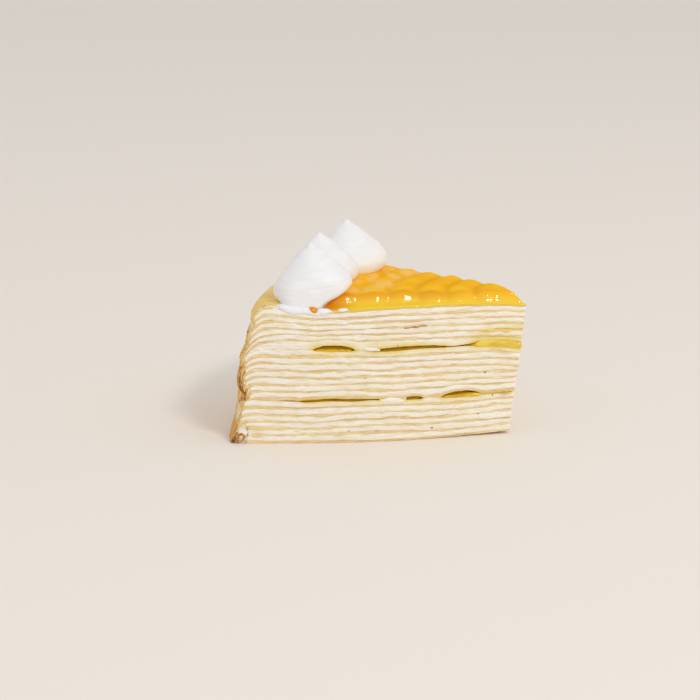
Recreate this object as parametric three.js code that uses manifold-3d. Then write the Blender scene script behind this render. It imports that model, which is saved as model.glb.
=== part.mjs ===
// A slice of crepe cake: a tall wedge of thin pancakes with whipped cream between
// them and two sheets of mango curd, a rippled curd topping, and three kisses of cream.
//
// Millimetres, +Z up. +X points to the slice's tip, the front cut face lies along X
// and looks to -Y, and the origin is at the middle of the underside's bounding box.

import * as THREE from 'three';
import { mergeVertices } from 'three/addons/utils/BufferGeometryUtils.js';
import Module from 'manifold-3d';

// ---- Driving dimensions -------------------------------------------------------

// The wedge. Heights and radii are those of the whole cake that it was cut from.
const WEDGE_ANGLE = THREE.MathUtils.degToRad(51);
const RADIUS_AT_BASE = 108;
const RADIUS_AT_TOP = 107;
const TIP_OVERHANG = 5.6;

// How far the soft cut faces swell out of the plane of the knife, at their middle.
const FRONT_BULGE = 5;
const BACK_BULGE = 3;

// The layers' thicknesses, away from the rim.
const CREPE_THICK = 0.95;
const CREAM_THICK_LOW = 1.774;
const CREAM_THICK_MIDDLE = 1.67;
const CREAM_THICK_HIGH = 1.52;
const CREAM_THICK_UNDER_CURD = 1.4;
const CREAM_THICK_OVER_CURD = 2.7;
const CURD_THICK = 1.3;

// Crepes in each group, from the underside up. The curd lies between the groups.
const CREPES_LOW = 6;
const CREPES_MIDDLE = 7;
const CREPES_HIGH = 6;

// At the rim the crepes hang down over each other, and the cream between them is thin. A
// layer falls by a share of its height, which is less for the higher ones.
const RIM_FALL_SHARE = 0.75;
const RIM_FALL_HEIGHT = 25;
const RIM_FALL_WIDTH = 10.5;
const RIM_FALL_POWER = 3.2;
const RIM_CREAM_SHARE = 0.3;

// Under the tip the slice is lifted a little off what it stands on, and its top droops there.
const TIP_LIFT = 1.1;
const TIP_LIFT_LENGTH = 45;
const TIP_DROOP = 2.4;
const TIP_DROOP_LENGTH = 16;

// The curd stops short of the rim, at this share of the radius.
const CURD_REACH = 0.84;

// Where the knife has opened the cake over the curd: [distance from the tip, half length,
// height] of each opening on the front face, and how far in the openings reach.
const OPENINGS_HIGH = [[71, 9, 1.4], [47, 14, 1.2]];
const OPENINGS_LOW = [[66, 15, 1.3], [22, 9, 1.1]];
const OPENING_DEPTH = 11;
const OPENING_FADE = 6;

// The curd topping, with round ridges about the tip.
const TOPPING_RADIUS = 75;
const TOPPING_INSET = 0.5;
const TOPPING_THICK = 2.7;
const RIDGE_HEIGHT = 1.1;
const RIDGE_PITCH = 10.8;
const FIRST_RIDGE = 15.3;
const TOPPING_EDGE_THICK = 0.9;
const TOPPING_EDGE_WIDTH = 4;

// The kisses of cream, in [radius, height] from the axis' foot to the peak, and their
// places as [name, distance from the tip, angle from the front face, size].
const KISS_PROFILE = [
  [0, 0], [12.4, 0], [14.2, 1.4], [15, 4], [14.5, 6.9], [12.5, 10],
  [8.6, 14], [4.1, 18.8], [1.5, 21.1], [0, 21.8],
];
const KISS_PLACES = [
  ['dollop_front', 81.2, 6.8, 0.975],
  ['dollop_middle', 81.3, 23.2, 0.965],
  ['dollop_back', 80.1, 39.5, 1.03],
];
const KISS_SIDES = 20;

// Clear space between pieces that lie on each other, and between cut pieces.
const LAYER_GAP = 0.05;
const CUT_GAP = 0.3;

// How finely each surface is divided, as shares of the radius and steps of the angle.
const LAYER_RINGS = [0.2, 0.36, 0.52, 0.68, CURD_REACH, 0.92, 0.965, 1];
const LAYER_STEPS = 4;
const TOPPING_RINGS = 20;
const TOPPING_STEPS = 8;

// ---- Finishes -----------------------------------------------------------------

function finish(color, roughness) {
  return new THREE.MeshStandardMaterial({ color, roughness, metalness: 0 });
}

const FINISHES = {
  crepe: () => finish(0xe9cd8e, 0.75),
  cream: () => finish(0xf6edd2, 0.6),
  curd: () => finish(0xd9b21e, 0.25),
  topping: () => finish(0xf2a813, 0.12),
  dollop: () => finish(0xfaf8f4, 0.55),
};

// ---- The stack of layers ------------------------------------------------------

// Lists the layers from the underside up, as { kind, name, thick }.
function stackOfLayers() {
  const layers = [];
  const made = { crepe: 0, cream: 0 };
  const add = (kind, thick) => {
    made[kind] += 1;
    const number = String(made[kind]).padStart(2, '0');
    layers.push({ kind, name: `${kind}_${number}`, thick });
  };
  const addGroup = (crepes, creamThick) => {
    for (let i = 0; i < crepes; i += 1) {
      if (i > 0) add('cream', creamThick);
      add('crepe', CREPE_THICK);
    }
  };
  addGroup(CREPES_LOW, CREAM_THICK_LOW);
  add('cream', CREAM_THICK_UNDER_CURD);
  layers.push({ kind: 'curd', name: 'curd_low', thick: CURD_THICK, openings: OPENINGS_LOW });
  addGroup(CREPES_MIDDLE, CREAM_THICK_MIDDLE);
  add('cream', CREAM_THICK_UNDER_CURD);
  layers.push({ kind: 'curd', name: 'curd_high', thick: CURD_THICK, openings: OPENINGS_HIGH });
  add('cream', CREAM_THICK_OVER_CURD);
  addGroup(CREPES_HIGH, CREAM_THICK_HIGH);
  return layers;
}

const layers = stackOfLayers();

// The heights of the borders between layers: inside the cake, and at the rim, where a
// crepe takes nearly all of the room and a sheet of curd takes none.
function bordersOf(thickOf) {
  const total = layers.reduce((sum, layer) => sum + thickOf(layer), 0);
  const full = layers.reduce((sum, layer) => sum + layer.thick, 0);
  const heights = [0];
  for (const layer of layers) {
    heights.push(heights.at(-1) + (thickOf(layer) * full) / total);
  }
  return heights;
}

const RIM_WEIGHT = { crepe: 1, cream: RIM_CREAM_SHARE, curd: 0 };
const innerHeights = bordersOf((layer) => layer.thick);
const rimHeights = bordersOf((layer) => RIM_WEIGHT[layer.kind]);
const CAKE_HEIGHT = innerHeights.at(-1);

// ---- Shape functions ----------------------------------------------------------

// 0 below 0, 1 above 1, and a smooth rise between.
function rise(t) {
  return THREE.MathUtils.smoothstep(t, 0, 1);
}

function tipX(height) {
  return (TIP_OVERHANG * height) / CAKE_HEIGHT;
}

function rimRadius(height) {
  return THREE.MathUtils.lerp(RADIUS_AT_BASE, RADIUS_AT_TOP, height / CAKE_HEIGHT);
}

// How high the cake stands open over a curd at a distance from the tip and from the face.
function openingAt(openings, radius, depth) {
  let height = 0;
  for (const [middle, halfLength, tall] of openings) {
    const along = Math.max(0, 1 - ((radius - middle) / halfLength) ** 2);
    height += tall * along;
  }
  return height * rise(1 - depth / OPENING_DEPTH);
}

// The lift that a layer's border gets from the openings of the curds under the layer, which
// fades upward.
function liftFromOpenings(layer, border, radius, depth) {
  let lift = 0;
  for (let below = 0; below < layer; below += 1) {
    const openings = layers[below].openings ?? [];
    const above = innerHeights[border] - innerHeights[below + 1];
    lift += openingAt(openings, radius, depth) * rise(1 - above / OPENING_FADE);
  }
  return lift;
}

// How far a place is pushed out by the bulges of the cut faces, which fade to the middle.
function bulgeAt(share, angle) {
  const turn = angle / WEDGE_ANGLE;
  const swell = Math.sin(Math.PI * share);
  const front = FRONT_BULGE * swell * Math.max(0, 1 - 2 * turn) ** 2;
  const back = BACK_BULGE * swell * Math.max(0, 2 * turn - 1) ** 2;
  return new THREE.Vector3(
    back * Math.sin(WEDGE_ANGLE),
    back * Math.cos(WEDGE_ANGLE) - front,
    0,
  );
}

// How much the tip droops at a height.
function droopAt(radius, level) {
  const near = Math.max(0, 1 - radius / TIP_DROOP_LENGTH) ** 2;
  return TIP_DROOP * near * (level / CAKE_HEIGHT) ** 2;
}

// A point on a border of a layer. share is the distance from the tip as a share of the
// radius, and angle is measured at the tip from the front cut face.
function borderPoint(layer, border, share, angle) {
  const rimward = rise((share - CURD_REACH) / (1 - CURD_REACH));
  const level = THREE.MathUtils.lerp(innerHeights[border], rimHeights[border], rimward);
  const radius = share * rimRadius(level);
  const depth = radius * Math.sin(angle);
  let height = level + liftFromOpenings(layer, border, radius, depth);
  const fromRim = (1 - share) * RADIUS_AT_BASE;
  const bend = Math.max(0, 1 - fromRim / RIM_FALL_WIDTH) ** RIM_FALL_POWER;
  height *= 1 - (bend * RIM_FALL_SHARE * RIM_FALL_HEIGHT) / (level + RIM_FALL_HEIGHT);
  const lift = TIP_LIFT * Math.max(0, 1 - radius / TIP_LIFT_LENGTH) ** 2;
  height += lift * (1 - level / CAKE_HEIGHT) - droopAt(radius, level);
  const point = new THREE.Vector3(tipX(level) - radius * Math.cos(angle), depth, height);
  return point.add(bulgeAt(share, angle));
}

// ---- Wedge-shaped solids ------------------------------------------------------

// A closed wedge between two surfaces. under and over give a point for (share, angle share),
// rings are the shares of the radius, and steps is the number of steps of the angle.
function wedgeSolid(rings, steps, under, over) {
  const positions = [];
  const indices = [];
  const row = steps + 1;
  const sideCount = 1 + rings.length * row;
  for (const surface of [under, over]) {
    positions.push(...surface(0, 0).toArray());
    for (const share of rings) {
      for (let j = 0; j <= steps; j += 1) {
        positions.push(...surface(share, j / steps).toArray());
      }
    }
  }
  const at = (ring, j) => 1 + ring * row + j;
  const addFace = (a, b, c) => {
    indices.push(a, b, c);
    indices.push(sideCount + a, sideCount + c, sideCount + b);
  };
  for (let j = 0; j < steps; j += 1) {
    addFace(0, at(0, j), at(0, j + 1));
    for (let ring = 0; ring + 1 < rings.length; ring += 1) {
      addFace(at(ring, j), at(ring + 1, j), at(ring + 1, j + 1));
      addFace(at(ring, j), at(ring + 1, j + 1), at(ring, j + 1));
    }
  }
  const edge = [0];
  for (let ring = 0; ring < rings.length; ring += 1) edge.push(at(ring, 0));
  for (let j = 1; j <= steps; j += 1) edge.push(at(rings.length - 1, j));
  for (let ring = rings.length - 2; ring >= 0; ring -= 1) edge.push(at(ring, steps));
  edge.forEach((a, i) => {
    const b = edge[(i + 1) % edge.length];
    indices.push(a, sideCount + b, b);
    indices.push(a, sideCount + a, sideCount + b);
  });
  const geometry = new THREE.BufferGeometry();
  geometry.setAttribute('position', new THREE.Float32BufferAttribute(positions, 3));
  geometry.setIndex(indices);
  geometry.computeVertexNormals();
  return geometry;
}

// A layer, from one border of the stack to the next. Curd has no rings near the rim.
function layerSolid(layer, index) {
  const border = (number, shift) => (share, turn) => {
    const point = borderPoint(index, number, share, turn * WEDGE_ANGLE);
    point.z += shift;
    return point;
  };
  const reach = layer.kind === 'curd' ? CURD_REACH : 1;
  const foot = index === 0 ? 0 : LAYER_GAP / 2;
  return wedgeSolid(
    LAYER_RINGS.filter((share) => share <= reach),
    LAYER_STEPS,
    border(index, foot),
    border(index + 1, -LAYER_GAP / 2),
  );
}

// ---- The curd topping ---------------------------------------------------------

// The topping's thickness at a distance from the tip, and at a distance from its own edge.
function toppingThick(radius, fromEdge) {
  const wave = Math.max(0, radius - FIRST_RIDGE) / RIDGE_PITCH;
  const ridge = RIDGE_HEIGHT * Math.abs(Math.cos(Math.PI * wave));
  const full = TOPPING_THICK + ridge;
  const t = Math.min(1, fromEdge / TOPPING_EDGE_WIDTH);
  const round = Math.sqrt(1 - (1 - t) ** 2);
  return THREE.MathUtils.lerp(TOPPING_EDGE_THICK, full, round);
}

// The topping, larger by spare on its top and its end, to cut other pieces with.
function toppingSolid(spare) {
  const tipShift = TOPPING_INSET / Math.sin(WEDGE_ANGLE / 2);
  const half = WEDGE_ANGLE / 2;
  const reach = TOPPING_RADIUS - tipShift + spare;
  const place = (radius, angle, height) => new THREE.Vector3(
    tipX(CAKE_HEIGHT) - tipShift * Math.cos(half) - radius * Math.cos(angle),
    tipShift * Math.sin(half) + radius * Math.sin(angle),
    height - droopAt(radius, CAKE_HEIGHT),
  ).add(bulgeAt((radius + tipShift) / RADIUS_AT_TOP, angle));
  const under = (share, turn) => {
    return place(share * reach, turn * WEDGE_ANGLE, CAKE_HEIGHT + LAYER_GAP);
  };
  const over = (share, turn) => {
    const radius = share * reach;
    const angle = turn * WEDGE_ANGLE;
    const toFront = radius * Math.sin(angle);
    const toBack = radius * Math.sin(WEDGE_ANGLE - angle);
    const fromEdge = Math.min(toFront, toBack, reach - radius);
    const thick = toppingThick(radius + tipShift, fromEdge);
    return place(radius, angle, CAKE_HEIGHT + LAYER_GAP + thick + spare);
  };
  const rings = Array.from({ length: TOPPING_RINGS }, (_, i) => (i + 1) / TOPPING_RINGS);
  return wedgeSolid(rings, TOPPING_STEPS, under, over);
}

// ---- The kisses of cream ------------------------------------------------------

const wasm = await Module();
wasm.setup();

function toManifold(geometry) {
  const bare = geometry.clone();
  bare.deleteAttribute('normal');
  bare.deleteAttribute('uv');
  const merged = mergeVertices(bare, 1e-4);
  return new wasm.Manifold(new wasm.Mesh({
    numProp: 3,
    vertProperties: new Float32Array(merged.attributes.position.array),
    triVerts: new Uint32Array(merged.index.array),
  }));
}

function fromManifold(solid) {
  const mesh = solid.getMesh();
  const geometry = new THREE.BufferGeometry();
  geometry.setAttribute('position', new THREE.BufferAttribute(mesh.vertProperties, 3));
  geometry.setIndex(new THREE.BufferAttribute(mesh.triVerts, 1));
  geometry.computeVertexNormals();
  return geometry;
}

// A kiss standing on the top crepe, grown by spare all round.
function kissGeometry(distance, degrees, size, spare) {
  const profile = KISS_PROFILE.map(([radius, height]) => {
    const wide = radius > 0 ? radius * size + spare : 0;
    const high = height > 0 ? height * size + spare : -spare;
    return new THREE.Vector2(wide, high);
  });
  const geometry = new THREE.LatheGeometry(profile, KISS_SIDES);
  geometry.rotateX(Math.PI / 2);
  const angle = THREE.MathUtils.degToRad(degrees);
  geometry.translate(
    tipX(CAKE_HEIGHT) - distance * Math.cos(angle),
    distance * Math.sin(angle),
    CAKE_HEIGHT + LAYER_GAP,
  );
  return geometry;
}

// The knife's waste beyond both cut faces, as two long blocks. They stand off by the bulges
// that the faces have under the kisses.
function knifeWaste() {
  const length = 3 * RADIUS_AT_BASE;
  const [, kissDistance] = KISS_PLACES[0];
  const swell = Math.sin((Math.PI * kissDistance) / RADIUS_AT_TOP);
  const front = new THREE.BoxGeometry(length, length, length);
  front.translate(-length / 4, -length / 2 - FRONT_BULGE * swell, 0);
  const back = new THREE.BoxGeometry(length, length, length);
  back.translate(-length / 4, length / 2 + BACK_BULGE * swell, 0);
  back.rotateZ(-WEDGE_ANGLE);
  for (const block of [front, back]) {
    block.translate(tipX(CAKE_HEIGHT), 0, CAKE_HEIGHT);
  }
  return toManifold(front).add(toManifold(back));
}

// Each kiss is cut by the topping that it sits on, the knife and the kiss before it.
function kissSolids() {
  const cutter = toManifold(toppingSolid(CUT_GAP)).add(knifeWaste());
  return KISS_PLACES.map(([name, distance, degrees, size], index) => {
    let solid = toManifold(kissGeometry(distance, degrees, size, 0)).subtract(cutter);
    if (index > 0) {
      const [, beforeDistance, beforeDegrees, beforeSize] = KISS_PLACES[index - 1];
      const before = kissGeometry(beforeDistance, beforeDegrees, beforeSize, CUT_GAP);
      solid = solid.subtract(toManifold(before));
    }
    return [name, fromManifold(solid)];
  });
}

// ---- The slice ----------------------------------------------------------------

const slice = new THREE.Group();

function addPiece(name, kind, geometry) {
  const mesh = new THREE.Mesh(geometry, FINISHES[kind]());
  mesh.name = name;
  slice.add(mesh);
}

layers.forEach((layer, index) => {
  addPiece(layer.name, layer.kind, layerSolid(layer, index));
});
addPiece('topping', 'topping', toppingSolid(0));
for (const [name, geometry] of kissSolids()) {
  addPiece(name, 'dollop', geometry);
}

// The origin goes to the middle of the underside.
const box = new THREE.Box3().setFromObject(slice);
const middle = box.getCenter(new THREE.Vector3());
for (const mesh of slice.children) {
  mesh.position.set(-middle.x, -middle.y, -box.min.z);
}

export default slice;
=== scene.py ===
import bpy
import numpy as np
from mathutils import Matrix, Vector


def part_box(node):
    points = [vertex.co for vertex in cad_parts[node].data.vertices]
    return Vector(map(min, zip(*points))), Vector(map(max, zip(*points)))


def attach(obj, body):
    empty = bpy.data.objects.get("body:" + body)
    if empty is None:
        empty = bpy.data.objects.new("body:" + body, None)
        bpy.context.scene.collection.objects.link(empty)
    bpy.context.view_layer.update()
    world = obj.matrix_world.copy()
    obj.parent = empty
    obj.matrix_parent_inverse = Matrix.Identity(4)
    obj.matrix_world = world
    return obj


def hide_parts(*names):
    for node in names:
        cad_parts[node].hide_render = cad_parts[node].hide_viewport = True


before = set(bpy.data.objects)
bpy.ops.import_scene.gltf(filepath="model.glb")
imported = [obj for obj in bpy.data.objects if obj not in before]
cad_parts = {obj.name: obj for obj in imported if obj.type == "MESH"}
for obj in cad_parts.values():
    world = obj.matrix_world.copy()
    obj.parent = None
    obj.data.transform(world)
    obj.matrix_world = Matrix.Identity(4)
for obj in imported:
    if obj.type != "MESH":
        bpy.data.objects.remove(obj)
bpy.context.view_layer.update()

# The looks of a slice of mango crepe cake: crepes with whipped cream between them, two
# sheets of curd, a rippled curd topping and three kisses of cream.
#
# Shapes are worked out in millimetres in the slice's own plan. Its origin is the tip's foot,
# u runs from the tip along the front cut, v goes into the cake, and z is up. A place in the
# plan is also given by its share, the distance from the tip over the radius at the base, and
# its turn, the angle at the tip from the front cut. place() takes them into the frame.

MM = 0.001

# ---- Driving dimensions, in millimetres ----------------------------------------------

# The slice's angle, its radius from tip to rim at the base and at the top, how far its tip
# leans out at the top, and how far the cuts bulge.
WEDGE = np.radians(51)
RADIUS_AT_BASE = 108.0
RADIUS_AT_TOP = 107.0
TIP_OVERHANG = 5.6
FRONT_BULGE = 5.0
BACK_BULGE = 3.0

# The layers' thicknesses inside the cake, and the crepes of each group.
CREPE_THICK = 0.95
CREAM_THICK = {"low": 1.774, "middle": 1.67, "high": 1.52, "under_curd": 1.4, "over_curd": 2.7}
CURD_THICK = 1.3
CREPES = {"low": 6, "middle": 7, "high": 6}

# How the layers fall at the rim: how much of their height at most, how that fades with the
# height, over which distance and how suddenly, and what part of it there is at some levels.
# The weights share out the rim's height among the layers, where the curds have ended.
RIM_FALL_SHARE = 0.75
RIM_FALL_HEIGHT = 25.0
RIM_FALL_WIDTH = 10.5
RIM_FALL_POWER = 3.2
RIM_FALL_LEVELS = [0, 8, 20, 36, 44, 53]
RIM_FALL_PARTS = [1.0, 0.8, 0.58, 0.62, 0.9, 1.0]
RIM_WEIGHT = {"crepe": 1.0, "cream": 0.8, "curd": 0.0}

# How far the tip's foot is lifted and its top droops, over which distances, and the share
# of the radius that the curds reach.
TIP_LIFT = 1.1
TIP_LIFT_LENGTH = 45.0
TIP_DROOP = 2.4
TIP_DROOP_LENGTH = 16.0
CURD_REACH = 0.84

# Where the knife has opened the cake over a curd, as [distance from the tip, half length,
# height], on the front and on the back cut, and how far in and up the openings reach.
OPENINGS_HIGH = {"front": [[73, 8, 1.4], [46, 16, 0.9]], "back": [[58, 12, 0.9]]}
OPENINGS_LOW = {
    "front": [[67, 15, 0.5], [40.5, 4, 0.6], [22, 8, 1.3]],
    "back": [[34, 10, 0.8], [76, 8, 0.7]],
}
OPENING_DEPTH = 8.0
OPENING_FADE = 6.0

# Where a curd's edge shows at a cut, as [distance from the tip, half length, share of the
# curd's thickness that shows].
SHOWN_HIGH = {
    "front": [[73, 6.5, 0.85], [46, 15, 0.6], [24.5, 9, 0.4], [8, 10, 1.0]],
    "back": [[58, 13, 0.8], [36, 8, 0.3], [12, 16, 0.7]],
}
SHOWN_LOW = {
    "front": [[67, 15, 0.5], [40.5, 2.5, 0.6], [22, 6.5, 0.8], [6, 8, 0.3]],
    "back": [[34, 11, 0.8], [76, 8, 0.7], [8, 10, 0.5]],
}
SHOWN_FADE = 2.0
PINCH_DEPTH = 3.0

# A place that is no deeper than this behind a cut counts as on it.
ON_CUT = 0.3

# How far the knife has pressed the top edge of the front cut down, over the distance from
# the tip, how deep that reaches into the cake, and the level under which it's gone.
PRESS_ALONG = [0, 4, 13, 31, 50, 69, 81, 90, 97]
PRESS_DOWN = [0.2, 0.9, 1.3, 0.7, 1.0, 1.5, 2.0, 0.9, 0]
PRESS_DEPTH = 9.0
PRESS_LEVEL = 33.0

# The layers' sag near the tip, up to the level where it ends, and how much thicker the upper
# curd is by the tip and the front cut.
TIP_SAG = 1.0
TIP_SAG_LENGTH = 48.0
TIP_SAG_TOP = 50.0
TIP_SAG_FADE = 12.0
CURD_SWELL = 1.25
CURD_SWELL_REACH = 27.0
CURD_SWELL_FADE = 12.0
CURD_SWELL_DEPTH = 6.0

# The waves of the borders between the layers, as [height, length]: slow ones that neighbours
# share, a border's own, and fine ones. The first and last few borders are held flatter, and
# all of them by the rim.
SLOW_WAVES = [0.46, 27.0]
OWN_WAVES = [0.33, 9.0]
FINE_WAVES = [0.12, 2.2]
HELD_BORDERS = 3
HELD_BY_RIM = 0.7

# The topping's reach from the tip, its distance from the cuts and its thickness, and the
# height, the distance apart and the first place of its ridges.
TOPPING_RADIUS = 75.0
TOPPING_INSET = 0.5
TOPPING_THICK = 2.7
RIDGE_HEIGHT = 1.1
RIDGE_PITCH = 10.8
FIRST_RIDGE = 15.3

# A kiss's height, and each kiss's distance from the tip, angle in degrees and size as a
# share of the full one.
KISS_TALL = 21.8
KISSES = {
    "dollop_front": (81.2, 6.8, 0.975),
    "dollop_middle": (81.3, 23.2, 0.965),
    "dollop_back": (80.1, 39.5, 1.03),
}

# ---- Small tools ---------------------------------------------------------------------


def rise(t):
    """0 below 0, 1 above 1, and 3t^2 - 2t^3 between."""
    t = np.clip(t, 0, 1)
    return t * t * (3 - 2 * t)


def mixed(a, b, t):
    """a where t is 0, b where t is 1, and straight between."""
    return a + (b - a) * t


def lattice(points, seed):
    """Smooth random values from -1 to 1: each corner of a unit lattice has a value from a
    hash of its place, and they are eased into each other along each axis. The hash is
    multiplied in 64 bits, where it may wrap round."""
    cell = np.floor(points).astype(np.int64)
    ease = rise(points - cell)
    total = np.zeros(points.shape[:-1])
    for corner in np.ndindex(2, 2, 2):
        spot = cell + corner
        with np.errstate(over="ignore"):
            mark = spot[..., 0] * 73856093 ^ spot[..., 1] * 19349663 ^ spot[..., 2] * 83492791
            mark = (mark ^ (seed * 2654435761)) & 0xFFFFFFFF
            mark = ((mark ^ (mark >> 15)) * 2246822519) & 0xFFFFFFFF
            mark = ((mark ^ (mark >> 13)) * 3266489917) & 0xFFFFFFFF
        value = ((mark ^ (mark >> 16)) & 0xFFFF) / 32767.5 - 1
        weight = np.where(np.array(corner) == 1, ease, 1 - ease).prod(axis=-1)
        total += value * weight
    return total


def wander(x, y, z, seed, octaves=2):
    """Lattice values of x, y, z, with finer ones of half the height added."""
    points = np.stack(np.broadcast_arrays(x, y, z), axis=-1).astype(float)
    total = 0
    for octave in range(octaves):
        total = total + lattice(points * 2**octave + 17.3 * octave, seed + octave) / 2**octave
    return total


def waves(shape, u, v, other, seed, octaves=2):
    """wander() over the plan, as waves of a [height, length], which change with other."""
    tall, long = shape
    return tall * wander(u / long, v / long, other, seed, octaves)


# ---- The stack of layers -------------------------------------------------------------


def stack_of_layers():
    """The layers from the underside up, as dicts of kind, name and thick, and for a curd also
    of its openings and where it's shown."""
    layers = []
    made = {"crepe": 0, "cream": 0}

    def add(kind, thick):
        made[kind] += 1
        layers.append({"kind": kind, "name": f"{kind}_{made[kind]:02d}", "thick": thick})

    def add_group(group):
        for i in range(CREPES[group]):
            if i > 0:
                add("cream", CREAM_THICK[group])
            add("crepe", CREPE_THICK)

    def add_curd(name, openings, shown):
        curd = {"kind": "curd", "name": name, "thick": CURD_THICK}
        layers.append({**curd, "openings": openings, "shown": shown})

    add_group("low")
    add("cream", CREAM_THICK["under_curd"])
    add_curd("curd_low", OPENINGS_LOW, SHOWN_LOW)
    add_group("middle")
    add("cream", CREAM_THICK["under_curd"])
    add_curd("curd_high", OPENINGS_HIGH, SHOWN_HIGH)
    add("cream", CREAM_THICK["over_curd"])
    add_group("high")
    return layers


LAYERS = stack_of_layers()
TOP = len(LAYERS) - 1
CURDS = [i for i, layer in enumerate(LAYERS) if layer["kind"] == "curd"]


def borders_of(thick_of):
    """The heights of the borders between the layers, scaled to the whole stack's height."""
    thick = np.array([thick_of(layer) for layer in LAYERS])
    full = sum(layer["thick"] for layer in LAYERS)
    return np.concatenate([[0], np.cumsum(thick)]) * full / thick.sum()


INNER = borders_of(lambda layer: layer["thick"])
RIM = borders_of(lambda layer: RIM_WEIGHT[layer["kind"]])
CAKE_HEIGHT = INNER[-1]


# The tip's foot in the frame: the top crepe ends at the tip, and the lowest one reaches
# furthest along the back cut.
TIP_FOOT = np.array([
    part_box("crepe_19")[1].x / MM - TIP_OVERHANG,
    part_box("crepe_01")[1].y / MM - RADIUS_AT_BASE * np.sin(WEDGE),
    0,
])


def place(points):
    """Points of the slice's own plan, in the frame and in metres. x is against u."""
    return (points * np.array([-1, 1, 1]) + TIP_FOOT) * MM


# ---- The borders as surfaces ---------------------------------------------------------


def humps(spots, along):
    """The sum of parabolas over [middle, half length, height]."""
    return sum(tall * np.maximum(0, 1 - ((along - mid) / half) ** 2) for mid, half, tall in spots)


def shown_at(spots, along):
    """The share of each [middle, half length, share], fading to 0 beyond its ends."""
    fade = [
        share * rise(1 - (np.abs(along - mid) - half) / SHOWN_FADE) for mid, half, share in spots
    ]
    return np.maximum.reduce(fade)


def cut_depths(u, v):
    """How deep a place lies behind the front and the back cut, and how far along them."""
    radius = np.hypot(u, v)
    back = u * np.sin(WEDGE) - v * np.cos(WEDGE)
    return {"front": v, "back": back}, radius


def lift_of(layer, number, u, v):
    """The height that the openings of the curds under a layer give its border: their humps,
    fading into the cake and upward."""
    depths, radius = cut_depths(u, v)
    lift = 0
    for below in CURDS:
        if below >= layer:
            continue
        upward = rise(1 - (INNER[number] - INNER[below + 1]) / OPENING_FADE)
        for side, spots in LAYERS[below]["openings"].items():
            inward = rise(1 - depths[side] / OPENING_DEPTH)
            lift = lift + humps(spots, radius) * inward * upward
    return lift


def pinch_of(number, u, v):
    """How far a curd's two borders close on each other where its edge doesn't show."""
    depths, radius = cut_depths(u, v)
    shift = 0
    for curd in CURDS:
        if number not in (curd, curd + 1):
            continue
        toward = 0.5 if number == curd else -0.5
        for side, spots in LAYERS[curd]["shown"].items():
            near = rise(1 - depths[side] / PINCH_DEPTH)
            shift = shift + toward * CURD_THICK * near * (1 - shown_at(spots, radius))
    return shift


def swell_of(number, u, v):
    """How much higher the upper curd's upper border is near the tip, at the front cut."""
    if number != CURDS[-1] + 1:
        return 0
    depths, radius = cut_depths(u, v)
    by_tip = rise((CURD_SWELL_REACH - radius) / CURD_SWELL_FADE)
    return CURD_SWELL * by_tip * rise(1 - depths["front"] / CURD_SWELL_DEPTH)


def pressed_at(u, v, level):
    """How far down the knife has pressed a level by the front cut: a table over the distance
    from the tip, which fades into the cake and downward."""
    depths, radius = cut_depths(u, v)
    down = np.interp(radius, PRESS_ALONG, PRESS_DOWN) * rise(1 - depths["front"] / PRESS_DEPTH)
    return down * rise((level - PRESS_LEVEL) / (CAKE_HEIGHT - PRESS_LEVEL))


def sag_at(radius, level):
    """How far a level sags near the tip: most at mid height."""
    near = np.clip(1 - radius / TIP_SAG_LENGTH, 0, 1)
    return TIP_SAG * near * rise(level / TIP_SAG_FADE) * rise((TIP_SAG_TOP - level) / TIP_SAG_FADE)


def unevenness(number, u, v):
    """How far a border wanders from its level. It's still at the underside and at the top."""
    hold = np.clip(min(number, len(LAYERS) - number) / HELD_BORDERS, 0, 1)
    slow = waves(SLOW_WAVES, u, v, number / 7, 11)
    own = waves(OWN_WAVES, u, v, number * 0.8, 23)
    fine = waves(FINE_WAVES, u, v, number * 1.9, 31, 1)
    return hold * (slow + own + fine)


def rim_bend(from_rim, level):
    """What the rim's fall leaves of a height: all of it inside, and less toward the rim. The
    layers at mid height fall less, by the table of parts over the level."""
    bend = np.maximum(0, 1 - np.maximum(from_rim, 0) / RIM_FALL_WIDTH) ** RIM_FALL_POWER
    bend = bend * np.interp(level, RIM_FALL_LEVELS, RIM_FALL_PARTS)
    return 1 - bend * RIM_FALL_SHARE * RIM_FALL_HEIGHT / (level + RIM_FALL_HEIGHT)


def bulge_at(share, turn):
    """How far the cuts bulge, as the push along u and along v: half a sine wave from the tip
    to the rim, which fades to the middle of the cake."""
    swell = np.sin(np.pi * np.clip(share, 0, 1))
    front = FRONT_BULGE * swell * np.clip(1 - 2 * turn / WEDGE, 0, 1) ** 2
    back = BACK_BULGE * swell * np.clip(2 * turn / WEDGE - 1, 0, 1) ** 2
    return -back * np.sin(WEDGE), back * np.cos(WEDGE) - front


def bent(u, v, level, height):
    """Points of the plan at a level and a height: the rim's fall and the tip's lift and droop
    bend the height, the plan leans out with the level at the tip, and the cuts bulge."""
    share = np.hypot(u, v) / RADIUS_AT_BASE
    turn = np.arctan2(v, u)
    part = level / CAKE_HEIGHT
    radius = share * mixed(RADIUS_AT_BASE, RADIUS_AT_TOP, part)
    height = height - pressed_at(u, v, level) - sag_at(radius, level)
    height = height * rim_bend((1 - share) * RADIUS_AT_BASE, level)
    lift = TIP_LIFT * np.maximum(0, 1 - radius / TIP_LIFT_LENGTH) ** 2
    droop = TIP_DROOP * np.maximum(0, 1 - radius / TIP_DROOP_LENGTH) ** 2
    height = height + lift * (1 - part) - droop * part**2
    push_u, push_v = bulge_at(share, turn)
    return np.stack(np.broadcast_arrays(
        radius * np.cos(turn) - TIP_OVERHANG * part + push_u,
        radius * np.sin(turn) + push_v,
        height,
    ), axis=-1)


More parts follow.
